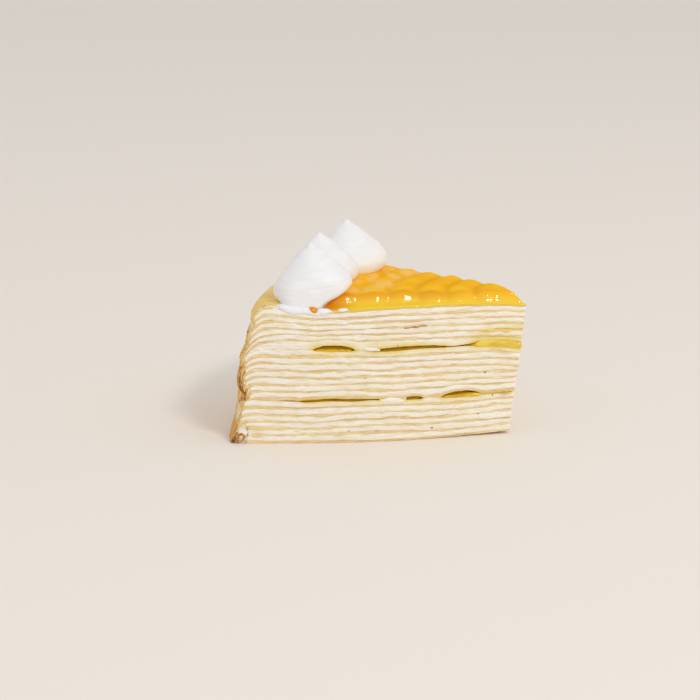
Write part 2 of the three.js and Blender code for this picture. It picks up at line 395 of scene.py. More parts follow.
def border(layer, number, u, v):
    """Points of a layer's border over the plan. The level goes from the inner one to the
    rim's, and the openings lift it."""
    share = np.hypot(u, v) / RADIUS_AT_BASE
    rimward = rise((share - CURD_REACH) / (1 - CURD_REACH))
    level = mixed(INNER[number], RIM[number], rimward)
    height = level + lift_of(layer, number, u, v) + pinch_of(number, u, v)
    height = height + swell_of(number, u, v)
    height = height + unevenness(number, u, v) * (1 - HELD_BY_RIM * rimward)
    return bent(u, v, level, height)


# The skin turns from the top to a cut over twice this depth.
SKIN_ROUND = 0.6


def skin(side, along, down):
    """Places on the cake's skin round the top edge of a cut, and the outward directions.
    along is the distance from the tip, and down is the depth below the edge on the cut, or
    under 0 the distance in from the edge on the top."""
    turn = 0.0 if side == "front" else WEDGE
    inward = np.maximum(-down, 0) * (1 if side == "front" else -1)
    u = along * np.cos(turn) - inward * np.sin(turn)
    v = along * np.sin(turn) + inward * np.cos(turn)
    level = CAKE_HEIGHT - np.maximum(down, 0)
    over = rise((down + SKIN_ROUND) / (2 * SKIN_ROUND))[..., None]
    sideways = np.array([0, -1, 0]) if side == "front" else np.array(
        [-np.sin(WEDGE), np.cos(WEDGE), 0]
    )
    outward = mixed(np.array([0, 0, 1]), sideways, over)
    outward = outward / np.linalg.norm(outward, axis=-1, keepdims=True)
    return bent(u, v, level, level), outward


# ---- Meshes --------------------------------------------------------------------------


def shell(points, quads, tris, marks):
    """One closed surface, with its faces turned outward by the sign of its volume. place()
    mirrors x, so in the plan they face inward."""
    corners = np.concatenate([quads[:, [0, 1, 2]], quads[:, [0, 2, 3]], tris]).astype(int)
    a, b, c = (points[corners[:, i]] for i in range(3))
    if np.einsum("ij,ij->i", a, np.cross(b, c)).sum() > 0:
        quads, tris = quads[:, ::-1], tris[:, ::-1]
    return {"points": points, "quads": quads, "tris": tris, "marks": marks}


def loft(rows, low_pole, high_pole, marks=None):
    """A closed surface from rows of closed loops, (row, column, xyz), shut by a point at
    each end. marks holds a value for each row and column."""
    count, columns = rows.shape[:2]
    points = np.concatenate([rows.reshape(-1, 3), [low_pole, high_pole]])
    here = np.arange(columns)
    there = np.roll(here, -1)
    lower = np.arange(count - 1)[:, None] * columns
    quads = np.stack(
        [lower + here, lower + there, lower + columns + there, lower + columns + here], axis=-1
    ).reshape(-1, 4)
    last = (count - 1) * columns
    low = np.stack([there, here, np.full(columns, count * columns)], axis=-1)
    high = np.stack([last + here, last + there, np.full(columns, count * columns + 1)], axis=-1)
    flat = {}
    for name, value in (marks or {}).items():
        value = np.broadcast_to(value, (count, columns))
        flat[name] = np.concatenate([value.ravel(), [value[0].mean(), value[-1].mean()]])
    return shell(points, quads, np.concatenate([low, high]), flat)


def tube(rings, marks=None):
    """A closed surface from closed rings, (ring, point, xyz), with flat ends: each end is
    shut by faces across its ring, from the ring's one half to its other half."""
    count, around = rings.shape[:2]
    points = rings.reshape(-1, 3)
    here = np.arange(around)
    there = np.roll(here, -1)
    lower = np.arange(count - 1)[:, None] * around
    sides = np.stack(
        [lower + here, lower + there, lower + around + there, lower + around + here], axis=-1
    ).reshape(-1, 4)
    half = np.arange(around // 2 - 1)
    across = np.stack([half, around - 1 - half, around - 2 - half, half + 1], axis=-1)
    ends = np.concatenate([across, across[:, ::-1] + (count - 1) * around])
    flat = {name: np.broadcast_to(v, (count, around)).ravel() for name, v in (marks or {}).items()}
    return shell(points, np.concatenate([sides, ends]), np.zeros((0, 3), int), flat)


def make_mesh(name, shells):
    """A smooth mesh in the frame from one or more closed surfaces and their marks. A mark
    that one of them lacks is 0 there."""
    start = np.cumsum([0] + [len(s["points"]) for s in shells])[:-1]
    points = np.concatenate([s["points"] for s in shells])
    quads = np.concatenate([s["quads"] + n for s, n in zip(shells, start)]).astype(np.int32)
    tris = np.concatenate([s["tris"] + n for s, n in zip(shells, start)]).astype(np.int32)
    mesh = bpy.data.meshes.new(name)
    mesh.vertices.add(len(points))
    mesh.vertices.foreach_set("co", place(points).astype(np.float32).ravel())
    corners = np.concatenate([quads.ravel(), tris.ravel()])
    sizes = np.concatenate([np.full(len(quads), 4), np.full(len(tris), 3)]).astype(np.int32)
    mesh.loops.add(len(corners))
    mesh.loops.foreach_set("vertex_index", corners)
    mesh.polygons.add(len(sizes))
    mesh.polygons.foreach_set("loop_start", np.concatenate([[0], np.cumsum(sizes)[:-1]]))
    mesh.polygons.foreach_set("loop_total", sizes)
    mesh.polygons.foreach_set("use_smooth", np.ones(len(sizes), bool))
    for mark in sorted(set().union(*(s["marks"] for s in shells))):
        values = [s["marks"].get(mark, np.zeros(len(s["points"]))) for s in shells]
        values = np.concatenate(values).astype(np.float32)
        mesh.attributes.new(mark, "FLOAT", "POINT").data.foreach_set("value", values)
    mesh.update(calc_edges=True)
    mesh.validate()
    return mesh


def make_piece(name, shells, material, stands_for=()):
    """An object at the origin that rides on the cake's one body."""
    piece = bpy.data.objects.new(name, make_mesh(name, shells))
    piece.data.materials.append(material)
    bpy.context.scene.collection.objects.link(piece)
    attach(piece, "root")
    if stands_for:
        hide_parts(*stands_for)


# ---- Finishes ------------------------------------------------------------------------


def colour(code):
    """A web colour as linear red, green, blue and alpha."""
    parts = np.array([int(code[i:i + 2], 16) for i in (1, 3, 5)]) / 255
    linear = np.where(parts <= 0.04045, parts / 12.92, ((parts + 0.055) / 1.055) ** 2.4)
    return (*linear.tolist(), 1.0)


class Nodes:
    """A node tree, with short ways to add to it."""

    def __init__(self, tree):
        self.nodes = tree.nodes
        self.links = tree.links

    def spread(self, value, low, high):
        """value as 0 at low and 1 at high, held between."""
        node = self.nodes.new("ShaderNodeMapRange")
        node.interpolation_type = "SMOOTHSTEP"
        node.inputs["From Min"].default_value = low
        node.inputs["From Max"].default_value = high
        self.links.new(value, node.inputs["Value"])
        return node.outputs["Result"]

    def maths(self, operation, first, second):
        """first and second, each a number or a socket, put together."""
        node = self.nodes.new("ShaderNodeMath")
        node.operation = operation
        for socket, value in zip(node.inputs, (first, second)):
            if isinstance(value, (int, float)):
                socket.default_value = value
            else:
                self.links.new(value, socket)
        return node.outputs["Value"]

    def blend(self, share, first, second):
        """first where share is 0 and second where it is 1, each a web colour or a socket."""
        node = self.nodes.new("ShaderNodeMix")
        node.data_type = "RGBA"
        self.links.new(share, node.inputs["Factor"])
        for socket, value in ((node.inputs[6], first), (node.inputs[7], second)):
            if isinstance(value, str):
                socket.default_value = colour(value)
            else:
                self.links.new(value, socket)
        return node.outputs[2]


class Finish(Nodes):
    """A material built from nodes on the piece's own coordinates. The settings are values of
    the shader's sockets, with _ for a space."""

    def __init__(self, name, **settings):
        self.material = bpy.data.materials.new(name)
        self.material.use_nodes = True
        super().__init__(self.material.node_tree)
        self.shader = self.nodes["Principled BSDF"]
        self.coordinates = self.nodes.new("ShaderNodeTexCoord")
        for key, value in settings.items():
            self.shader.inputs[key.replace("_", " ")].default_value = value

    def noise(self, size, detail=3.0, seed=0):
        """Noise from 0 to 1 whose grains have that size in mm along x, y and z."""
        mapping = self.nodes.new("ShaderNodeMapping")
        mapping.inputs["Location"].default_value = (seed * 3.1, seed * 1.7, seed * 2.3)
        mapping.inputs["Scale"].default_value = [1 / (MM * s) for s in size]
        self.links.new(self.coordinates.outputs["Object"], mapping.inputs["Vector"])
        noise = self.nodes.new("ShaderNodeTexNoise")
        noise.inputs["Scale"].default_value = 1.0
        noise.inputs["Detail"].default_value = detail
        self.links.new(mapping.outputs["Vector"], noise.inputs["Vector"])
        return noise.outputs["Fac"]

    def spots(self, size, low, high, detail=3.0, seed=0):
        """Such noise, spread from 0 to 1 as it goes from low to high."""
        return self.spread(self.noise(size, detail, seed), low, high)

    def flecks(self, seed):
        """Small thin spots of what the knife has dragged along."""
        return self.spots((1.3, 1.3, 0.45), 0.58, 0.74, detail=4, seed=seed)

    def dragged(self, low, high, seed):
        """Long streaks of what lies beside a layer, more of them toward its borders."""
        more = self.maths("MULTIPLY", self.mark("beside"), 0.2)
        streaks = self.noise((5, 5, 0.6), 5.0, seed)
        return self.spread(self.maths("ADD", streaks, more), low, high)

    def mark(self, name):
        """A value that the mesh carries."""
        node = self.nodes.new("ShaderNodeAttribute")
        node.attribute_name = name
        return node.outputs["Fac"]

    def over(self, base, places, amount, code):
        """base with a web colour over it at those places, up to that amount."""
        return self.blend(self.maths("MULTIPLY", places, amount), base, code)

    def bump(self, height, tall_mm):
        """Grain that is tall_mm high where height is 1, on the surface and on its coat."""
        node = self.nodes.new("ShaderNodeBump")
        node.inputs["Distance"].default_value = tall_mm * MM
        self.links.new(height, node.inputs["Height"])
        self.set("Normal", node.outputs["Normal"])
        if self.shader.inputs["Coat Weight"].default_value > 0:
            self.set("Coat Normal", node.outputs["Normal"])

    def set(self, socket, value):
        """Link a value to a socket of the shader."""
        self.links.new(value, self.shader.inputs[socket])


def crepe_finish():
    """Thin pancake. A cut edge is tan with cream dragged over it, a broad side is pale
    yellow, and the toasted places go from gold to brown. Curd stains it yellow."""
    made = Finish("crepe", Roughness=0.6, Specular_IOR_Level=0.3)
    edge = made.blend(made.spots((9, 9, 1.4), 0.4, 0.62), "#f1d08a", "#f7dfa4")
    edge = made.blend(made.spots((2.4, 2.4, 0.7), 0.5, 0.72, seed=3), edge, "#e8c398")
    edge = made.over(edge, made.spots((24, 24, 3.2), 0.52, 0.68, seed=11), 0.75, "#e9c7a4")
    edge = made.over(edge, made.dragged(0.56, 0.8, seed=1), 0.85, "#f9efd8")
    edge = made.over(edge, made.flecks(seed=21), 0.5, "#fbf1da")
    side = made.blend(made.spots((7, 7, 7), 0.35, 0.65, detail=4), "#f2cd6e", "#f7dc8c")
    base = made.blend(made.mark("cut"), side, edge)
    stain = made.mark("stain")
    base = made.blend(made.spread(stain, 0.0, 1.0), base, "#ecc94e")
    base = made.blend(made.spread(stain, 1.0, 2.0), base, "#f0c43a")
    toast = made.mark("toast")
    speck = made.spots((2.2, 2.2, 1.6), 0.3, 0.75, detail=5, seed=5)
    gold = made.maths("MULTIPLY", made.spread(toast, 0.15, 0.75), made.maths("ADD", speck, 0.5))
    base = made.blend(made.spread(gold, 0.0, 1.1), base, "#e2a440")
    base = made.over(base, made.spread(toast, 0.7, 1.1), made.maths("ADD", speck, 0.2), "#a65e16")
    made.set("Base Color", base)
    made.bump(made.spots((1.1, 1.1, 0.5), 0.2, 0.8, detail=5, seed=2), 0.14)
    return made.material


def cream_finish():
    """Whipped cream as the knife leaves it: ivory, with crumbs of crepe dragged along. Curd stains
    it yellow, and half of that yellow is painted over the cream between the hanging edges as a warm
    tint for its shaded sides."""
    made = Finish("cream", Roughness=0.5, Specular_IOR_Level=0.35)
    base = made.blend(made.spots((12, 12, 2), 0.35, 0.65), "#fbf2de", "#fef8ea")
    base = made.over(base, made.dragged(0.6, 0.84, seed=7), 0.85, "#eed4a4")
    base = made.over(base, made.flecks(seed=23), 0.5, "#f0d9ac")
    # The stain mark: real yellow from curd, and on the cream between the hanging edges a painted
    # warm tint for their shaded sides.
    stain = made.mark("stain")
    base = made.blend(made.spread(stain, 0.0, 1.0), base, "#f0d872")
    base = made.blend(made.spread(stain, 1.0, 2.0), base, "#f2cc4a")
    made.set("Base Color", base)
    made.bump(made.spots((1.5, 1.5, 0.5), 0.2, 0.8, detail=5, seed=8), 0.16)
    return made.material


def curd_finish():
    """Mango curd between the layers: a clear deep yellow gel, paler where it's smeared."""
    made = Finish(
        "curd", Roughness=0.18, Specular_IOR_Level=0.4, Coat_Weight=0.5, Coat_Roughness=0.06
    )
    base = made.blend(made.spots((6, 6, 3), 0.35, 0.65), "#e6b80c", "#f6d028")
    base = made.blend(made.mark("pale"), base, "#f4de8a")
    made.set("Base Color", base)
    made.bump(made.spots((2.5, 2.5, 1.5), 0.2, 0.8, detail=2, seed=4), 0.2)
    return made.material


def topping_finish():
    """The rippled topping: clear mango curd, pale yellow where it's thin, amber on the front flank
    and orange by the kisses. Amber in the valleys is painted shade, and paler swirls are a painted
    reflection of the kisses and the warm wall. Its gloss is all in the coat."""
    made = Finish(
        "topping", Roughness=0.4, Specular_IOR_Level=0.0,
        Coat_Weight=0.1, Coat_Roughness=0.04, Coat_IOR=3.5,
    )
    deep = made.blend(made.spots((14, 14, 14), 0.35, 0.65, detail=2), "#fbb806", "#ffc60c")
    # Painted shade: the valleys between the ridges are darkened to amber. The same mark also gives
    # the front flank its amber.
    deep = made.blend(made.mark("valley"), deep, "#f0a004")
    # Painted reflection: pale peach swirls by the kisses stand for the kisses and the warm wall
    # mirrored in the topping.
    swirl = made.mark("swirl")
    deep = made.over(deep, swirl, made.spots((5, 12, 9), 0.42, 0.6, seed=9), "#ffc862")
    base = made.blend(made.mark("thick"), "#f8cf38", deep)
    base = made.blend(made.mark("orange"), base, "#e68a06")
    made.set("Base Color", base)
    made.bump(made.spots((2.6, 1.5, 1.5), 0.2, 0.8, detail=1, seed=4), 0.07)
    return made.material


def kiss_finish():
    """Plain whipped cream, white and smooth, with the faintest streaks."""
    made = Finish(
        "kiss", Roughness=0.5, Specular_IOR_Level=0.35,
        Subsurface_Weight=0.2, Subsurface_Radius=(1.0, 0.8, 0.6), Subsurface_Scale=2 * MM,
    )
    base = made.blend(made.spots((9, 9, 3), 0.3, 0.7), "#f3f2f1", "#f8f7f6")
    made.set("Base Color", base)
    made.bump(made.spots((3, 3, 0.8), 0.2, 0.8, detail=4, seed=6), 0.05)
    return made.material


def crumb_finish():
    """Crumbs of crepe that the knife has browned."""
    made = Finish("crumb", Roughness=0.6)
    base = made.blend(made.spots((0.8, 0.8, 0.8), 0.35, 0.65), "#b4701c", "#dc9c44")
    made.set("Base Color", base)
    return made.material


# ---- The layers ----------------------------------------------------------------------

# The steps of an outline's points along the cuts and the rim, its round tip, and the place
# in the plan where the layers' upper and under sides are shut.
CUT_STEP = 0.5
RIM_STEP = 0.8
TIP_ROUND = 0.45
TIP_POINTS = 7
CENTRE = 0.62 * RADIUS_AT_BASE * np.array([np.cos(WEDGE / 2), np.sin(WEDGE / 2)])


def outline(inset_of):
    """The slice's outline as one closed loop in plan: along the front cut from the tip, round
    the rim, back along the back cut, and round the tip on a small circle that touches both
    cuts. inset_of(turn) is how far the rim stays inside the full radius. Gives u, v, the
    outward direction and which points are on the rim."""
    touch = TIP_ROUND / np.tan(WEDGE / 2)
    turn = np.linspace(0, WEDGE, int(RADIUS_AT_BASE * WEDGE / RIM_STEP))
    rim = RADIUS_AT_BASE - inset_of(turn)
    steps = int(RADIUS_AT_BASE / CUT_STEP)
    front = np.linspace(touch, rim[0], steps, endpoint=False)
    back = np.linspace(touch, rim[-1], steps, endpoint=False)[::-1]
    tip_turn = np.linspace(np.pi / 2 + WEDGE, 3 * np.pi / 2, TIP_POINTS + 2)[1:-1]
    zero, one = np.zeros(steps), np.ones(steps)
    u = np.concatenate([front, rim * np.cos(turn), back * np.cos(WEDGE),
                        touch + TIP_ROUND * np.cos(tip_turn)])
    v = np.concatenate([zero, rim * np.sin(turn), back * np.sin(WEDGE),
                        TIP_ROUND + TIP_ROUND * np.sin(tip_turn)])
    out_u = np.concatenate([zero, np.cos(turn), -one * np.sin(WEDGE), np.cos(tip_turn)])
    out_v = np.concatenate([-one, np.sin(turn), one * np.cos(WEDGE), np.sin(tip_turn)])
    on_rim = np.concatenate([zero, np.ones(len(turn)), zero, np.zeros(len(tip_turn))])
    return u, v, out_u, out_v, on_rim


# A cut face's slow dents and the knife's streaks, as [height, length], and how high each is
# up the face.
DENTS, DENT_HIGH = [0.19, 6.0], 3.5
STREAKS, STREAK_HIGH = [0.12, 4.0], 0.7


def wall_relief(u, v, height, seed):
    """How far a cut face stands out: slow dents, and the knife's streaks, which are long
    along the face and thin across it."""
    dents = waves(DENTS, u, v, height / DENT_HIGH, seed)
    return dents + waves(STREAKS, u, v, height / STREAK_HIGH, seed + 5)


def curd_shown(curd, u, v):
    """The share of a curd's thickness that shows along the outline."""
    depths, radius = cut_depths(u, v)
    spots = LAYERS[curd]["shown"]
    return sum(shown_at(spots[side], radius) * (depths[side] < ON_CUT) for side in depths)


# The rings of a layer's under and upper sides, as shares of the way from its edge to its
# middle, the points up each kind's edge, as shares of its thickness, and how far inside the
# full radius each kind ends.
RINGS = [0.6, 0.3, 0.09, 0.02]
WALL = {
    "crepe": [0.0, 0.14, 0.38, 0.62, 0.86, 1.0],
    "cream": [0.0, 0.07, 0.2, 0.38, 0.62, 0.8, 0.93, 1.0],
    "curd": [0.0, 0.1, 0.3, 0.5, 0.7, 0.9, 1.0],
}
END_INSET = {"crepe": 1.3, "cream": 1.4, "curd": 17.3}

# How far each kind of layer's edge stands out of its cut: at its middle, how much less at
# its borders and how suddenly, and its share of the relief. LAYER_WAVES is how far a whole
# layer wanders in and out.
EDGE_SHAPE = {
    "crepe": {"middle": -0.14, "drop": 0.1, "power": 4, "relief": 0.7},
    "cream": {"middle": 0.12, "drop": 0.14, "power": 3, "relief": 1.0},
    "curd": {"middle": 0.25, "drop": 0.35, "power": 3, "relief": 2.0},
}
LAYER_WAVES, LAYER_WAVE_LONG = 0.16, 20.0

# How far a curd is drawn back from a cut where it's shut and where it shows, how much more
# its upper part is, and how near the tip it isn't drawn back and is paler.
CURD_SINK = {"shut": 2.4, "shown": 0.8}
CURD_SLOPE = 1.3
CURD_BARE_REACH = 24.0
CURD_BARE_FADE = 8.0
CURD_PALE = 0.2
CURD_PALE_REACH = 26.0

# How far cream spills over the crepes beside it, and how ragged the layers are at the tip.
SPILL = 0.2
RAGGED = 0.5
RAGGED_REACH = 7.0

# How yellow curd makes the layer beside it and the next one, how far it reaches under the
# topping and beyond a shown edge, how yellow a layer's side is that lies on a curd, and the
# level of the smear along the front cut near the tip.
STAIN_BY_STEPS = {1: 1.0, 2: 0.35}
STAIN_REACH = 77.0
STAIN_FADE = 3.5
CURD_COVERED = 2
SMEAR_STAIN = 0.8
SMEAR_REACH = 25.0
SMEAR_LEVEL = 40.5
SMEAR_HALF = 4.5

# How toasted the layers are along the rim, and the cake's underside.
RIM_TOAST = 0.35
UNDERSIDE_TOAST = 0.5


def wall_out(kind, index, u, v, up, relief):
    """How far a layer's edge stands out of the cut, up its profile: cream swells, a crepe
    lies a little deeper, and curd bulges by the tip and is drawn back elsewhere."""
    shape = EDGE_SHAPE[kind]
    radius = np.hypot(u, v)
    out = shape["middle"] - shape["drop"] * np.abs(2 * up - 1) ** shape["power"]
    out = out + shape["relief"] * relief
    if kind != "curd":
        return out + LAYER_WAVES * wander(radius / LAYER_WAVE_LONG, index * 3.7, v > 1, 57, 2)
    sink = mixed(CURD_SINK["shut"], CURD_SINK["shown"], rise(curd_shown(index, u, v)))
    drawn_back = -sink - CURD_SLOPE * np.clip(2 * up - 0.5, 0, 2) ** 2
    by_tip = rise((CURD_BARE_REACH - radius) / CURD_BARE_FADE)
    by_tip = by_tip * rise(1 if index == CURDS[-1] else (radius - 1) / 3)
    return mixed(drawn_back, out, by_tip)


def stain_of(index, u, v, up):
    """How yellow a layer's edge is: beside a curd that shows, fading along the cut, at the
    top under the topping, and smeared near the tip."""
    depths, radius = cut_depths(u, v)
    stain = np.zeros(np.broadcast_shapes(u.shape, up.shape))
    uneven = 0.5 + 0.5 * wander(radius / 5, index * 1.3, depths["front"] > 1, 141, 2)
    for curd in CURDS:
        steps = abs(index - curd)
        if steps not in STAIN_BY_STEPS:
            continue
        near = 1 - up if index > curd else up
        fade = [
            share * (depths[side] < ON_CUT)
            * np.exp(-np.maximum(np.abs(radius - mid) - half, 0) / STAIN_FADE)
            for side, spots in LAYERS[curd]["shown"].items()
            for mid, half, share in spots
        ]
        amount = rise(1.6 * np.maximum.reduce(fade)) * mixed(0.45, 1, uneven)
        stain = stain + amount * mixed(0.2, 1, near) * STAIN_BY_STEPS[steps]
    if index == TOP:
        stain = stain + rise((STAIN_REACH - radius) / 4) * mixed(0.6, 1, up)
    from_smear = abs((INNER[index] + INNER[index + 1]) / 2 - SMEAR_LEVEL) / SMEAR_HALF
    smear = rise((SMEAR_REACH - radius) / 10) * (depths["front"] < ON_CUT)
    stain = stain + SMEAR_STAIN * smear * uneven * rise(1.6 - from_smear)
    return np.minimum(stain, 1)


def layer_wall(index, line):
    """A layer's edge, up its profile and along its outline: the places in the plan and the
    points. Cream spills a little over the crepes beside it, but not over curd."""
    u, v, out_u, out_v, on_rim = line
    kind, thick = LAYERS[index]["kind"], LAYERS[index]["thick"]
    up = np.array(WALL[kind])[:, None]
    height = mixed(INNER[index], INNER[index + 1], up)
    out = wall_out(kind, index, u, v, up, wall_relief(u[None], v[None], height, 51))
    near_tip = np.maximum(0, 1 - np.hypot(u, v) / RAGGED_REACH)
    out = out + near_tip * RAGGED * wander(0 * u + index * 1.37, 0.5, 0.5, 61, 1)
    wall_u = u + out * out_u
    wall_v = v + out * out_v
    low = border(index, index, wall_u, wall_v)
    high = border(index, index + 1, wall_u, wall_v)
    spill = 0
    if kind == "cream" and index - 1 not in CURDS and index + 1 not in CURDS:
        uneven = np.clip(0.5 + 0.8 * wander(u / 5, v / 5, index * 1.7 + (up > 0.5), 67, 2), 0, 1)
        spill = SPILL / thick * uneven * (1 - on_rim)
    return wall_u, wall_v, mixed(low, high, (up + (2 * up - 1) * spill)[..., None])


def layer_marks(index, line, shape):
    """What a layer's points carry: whether they're on a cut, how toasted and how stained they
    are, how near the layer's borders, and how pale its curd is."""
    u, v, _, _, on_rim = line
    up = np.array(WALL[LAYERS[index]["kind"]])[:, None]
    edge = slice(len(RINGS), -len(RINGS))
    marks = {name: np.zeros(shape) for name in ("cut", "toast", "stain", "beside", "pale")}
    marks["cut"][edge] = 1 - on_rim
    marks["toast"][edge] = RIM_TOAST * on_rim
    if index == 0:
        marks["toast"][: len(RINGS) + 2] = UNDERSIDE_TOAST
    marks["stain"][edge] = stain_of(index, u, v, up) * (1 - on_rim)
    if index - 1 in CURDS:
        marks["stain"][: len(RINGS)] = CURD_COVERED
    if index + 1 in CURDS:
        marks["stain"][-len(RINGS):] = CURD_COVERED
    marks["beside"][edge] = np.abs(2 * up - 1)
    marks["pale"][edge] = CURD_PALE * rise((CURD_PALE_REACH - np.hypot(u, v)) / 10)
    return marks


def layer_shell(index):
    """A layer as a profile carried along its outline. The profile goes from the middle of the
    underside out to the edge, up the edge, and back to the middle of the upper side."""
    line = outline(lambda turn: end_inset(index, turn))
    wall_u, wall_v, wall = layer_wall(index, line)

    def ring(number, row, t):
        """A loop on a border, the share t of the way from the edge to the middle."""
        ring_u, ring_v = mixed(wall_u[row], CENTRE[0], t), mixed(wall_v[row], CENTRE[1], t)
        return border(index, number, ring_u, ring_v)

    under = [ring(index, 0, t) for t in RINGS]
    over = [ring(index + 1, -1, t) for t in reversed(RINGS)]
    rows = np.stack([*under, *wall, *over])
    low_pole, high_pole = (border(index, number, *CENTRE) for number in (index, index + 1))
    return loft(rows, low_pole, high_pole, layer_marks(index, line, rows.shape[:2]))


# ---- The hanging edges ---------------------------------------------------------------

# A free edge's grid: the step along the rim, the rows down it, of the cream beside it, and
# of the stretch inside the layer, and how long that stretch is.
EDGE_STEP = 0.6
EDGE_ROWS = 20
CREAM_ROWS = 12
INSIDE_ROWS = 7
INSIDE_REACH = 3.2

# A free edge's thickness, its usual length, the room that it leaves under the edges over
# it, how far down it has left the layer's end and is at its own thickness, its least length,
# and the gap that it leaves over the floor.
EDGE_THICK = 0.32
EDGE_LENGTH = 6.5
EDGE_ROOM = {"start": 0.3, "end": 0.1}
EDGE_EASE = 2.2
EDGE_THINNED = 4.0
SHORTEST_EDGE = 0.6
FLOOR_GAP = 0.25

# How far folds and finer ripples push a free end out, and their lengths along the rim.
FOLD_OUT, FOLD_LONG = 0.9, 9.0
RIPPLE_OUT, RIPPLE_LONG = 0.3, 3.4

# How far the strips draw back from the cuts, inside the layers and, for cream, outside.
TUCK = 0.45
CREAM_TUCK = 0.12

# The heights of the tables of how near the edges come.
LEVEL_STEP = 0.25
EDGE_LEVELS = np.arange(-2, 60, LEVEL_STEP)

# How far the free edges stand out of the cake's side by the front cut, over height, what
# share of the rim that reaches, and how far they stand out beyond it.
SIDE_LEVELS = [0, 4, 9.4, 13.6, 18.5, 20, 22.6, 31.7, 36, 41.5, 45, 48, 53]
SIDE_OFFSETS = [-0.7, -1.0, -2.0, -2.6, -3.2, -1.2, -0.3, 0, -1.5, -2.2, -2.1, -0.8, 0]
SIDE_REACH = 0.35
SIDE_BEYOND = -0.9

# Between these heights by the front cut the layers end further in, by this much, and a
# thicker, browner bunch of free edges hangs there, over this share of the rim.
BUNCH_LOW = 14.0
BUNCH_HIGH = 33.0
BUNCH_ROOM = 1.3
BUNCH_REACH = 0.14

# Crepes whose free edge hangs far down, by number, as [middle of the stretch, its half
# length, extra length]. The first two are shares of the rim.
LONG_EDGES = {
    19: [0.45, 0.4, 3.5], 14: [0.0, 0.16, 7.5], 7: [0.0, 0.22, 11.0], 16: [0.6, 0.2, 6.0],
    10: [0.8, 0.2, 7.0], 5: [0.45, 0.25, 4.0], 12: [0.4, 0.14, 6.0],
}

# The lowest crepe's edge is rolled up at the foot of the rim, by the front cut: the share of
# the rim that the roll takes up, its radius, its middle's distance from the tip, its turns,
# its thickness as a share of its radius, how toasted it is, and its steps along the rim.
CURL_REACH = 0.4
CURL_RADIUS = 2.4
CURL_FROM_TIP = 104.3
CURL_TURNS = 1.3
CURL_THICK = 0.3
CURL_TOAST = {"outside": 1.3, "inside": 1.1}
CURL_STEPS = 60

# The highest crepe whose free edge stays short by the roll.
LAST_ROLLED = 3


def rim_tables():
    """The cake's outer side as tables over height, from the floor up: its distance from the
    tip's leaning line, and how far that line leans out. Up to the shoulder it's the end of
    the layers, and over the shoulder the top border."""
    level = np.linspace(0, CAKE_HEIGHT, 90)
    side_z = level * rim_bend(0, level)
    side_r = mixed(RADIUS_AT_BASE, RADIUS_AT_TOP, level / CAKE_HEIGHT)
    side_lean = TIP_OVERHANG * level / CAKE_HEIGHT
    share = np.linspace(1, 1 - RIM_FALL_WIDTH / RADIUS_AT_BASE, 60)[1:]
    top_z = CAKE_HEIGHT * rim_bend((1 - share) * RADIUS_AT_BASE, CAKE_HEIGHT)
    top_r = share * RADIUS_AT_TOP
    top_lean = np.full(len(share), TIP_OVERHANG)
    return tuple(map(np.concatenate, ((side_z, top_z), (side_r, top_r), (side_lean, top_lean))))


RIM_Z, RIM_R, RIM_LEAN = rim_tables()


def round_the_rim(radius, turn, z):
    """Points in the plan at a distance from the tip's leaning line, a turn and a height, with
    the bulge of the cuts."""
    push_u, push_v = bulge_at(radius / RADIUS_AT_BASE, turn)
    lean = np.interp(z, RIM_Z, RIM_LEAN)
    return np.stack(np.broadcast_arrays(
        radius * np.cos(turn) - lean + push_u, radius * np.sin(turn) + push_v, z
    ), axis=-1)


def curl_size(turn):
    """The roll's radius along the rim: whole at the front cut, and gone at its far end."""
    return CURL_RADIUS * np.sqrt(np.clip(1 - turn / (WEDGE * CURL_REACH), 0, 1))


def side_offset(turn, z):
    """How far the free edges stand out of the layers' full radius at a height: the table by
    the front cut, and even beyond."""
    beyond = rise(turn / (WEDGE * SIDE_REACH))
    return mixed(np.interp(z, SIDE_LEVELS, SIDE_OFFSETS), SIDE_BEYOND, beyond)


def bunch_share(turn, z):
    """1 where the thick bunch of free edges hangs, and 0 away from it."""
    upright = rise((z - BUNCH_LOW) / 3) * rise((BUNCH_HIGH - z) / 4)
    return upright * (1 - rise(turn / (WEDGE * BUNCH_REACH)))


def end_inset(index, turn):
    """How far inside the full radius a layer ends along the rim: within the free edges that
    hang there, and low down within the roll."""
    kind = LAYERS[index]["kind"]
    wave = 0.3 * wander(turn * 16, index * 3.3, 0.5, 41, 2)
    if kind == "curd":
        return END_INSET[kind] + wave
    z = RIM[index] * rim_bend(2.0, RIM[index])
    inset = END_INSET[kind] + wave - side_offset(turn, z) + BUNCH_ROOM * bunch_share(turn, z)
    roll = curl_size(turn)
    behind = RADIUS_AT_BASE - CURL_FROM_TIP + 1.15 * roll
    return mixed(inset, behind, rise(2 * roll + 1.2 - z) * rise(roll / 0.6))


def long_share(number, turn):
    """1 in the middle of a crepe's long stretch of free edge, and 0 away from it."""
    if number not in LONG_EDGES:
        return 0 * turn
    middle, half, _ = LONG_EDGES[number]
    return rise(1.4 - np.abs(turn / WEDGE - middle) / half)


def edge_length(number, turn, start):
    """How far a free edge hangs down: slow and fine waves, and the long ones' extra. It stays
    short by the roll, and off the floor."""
    along = turn * RADIUS_AT_BASE
    length = EDGE_LENGTH * (1 + 0.33 * wander(along / 15, number * 2.7, 0.5, 71, 2))
    length = length + 0.5 * wander(along / 2.8, number * 5.1, 0.5, 73, 2)
    if number in LONG_EDGES:
        length = length + LONG_EDGES[number][2] * long_share(number, turn)
    if number <= LAST_ROLLED:
        length = length * (1 - 0.9 * rise(curl_size(turn)))
    return np.clip(length, SHORTEST_EDGE, np.maximum(start - FLOOR_GAP, SHORTEST_EDGE / 2))


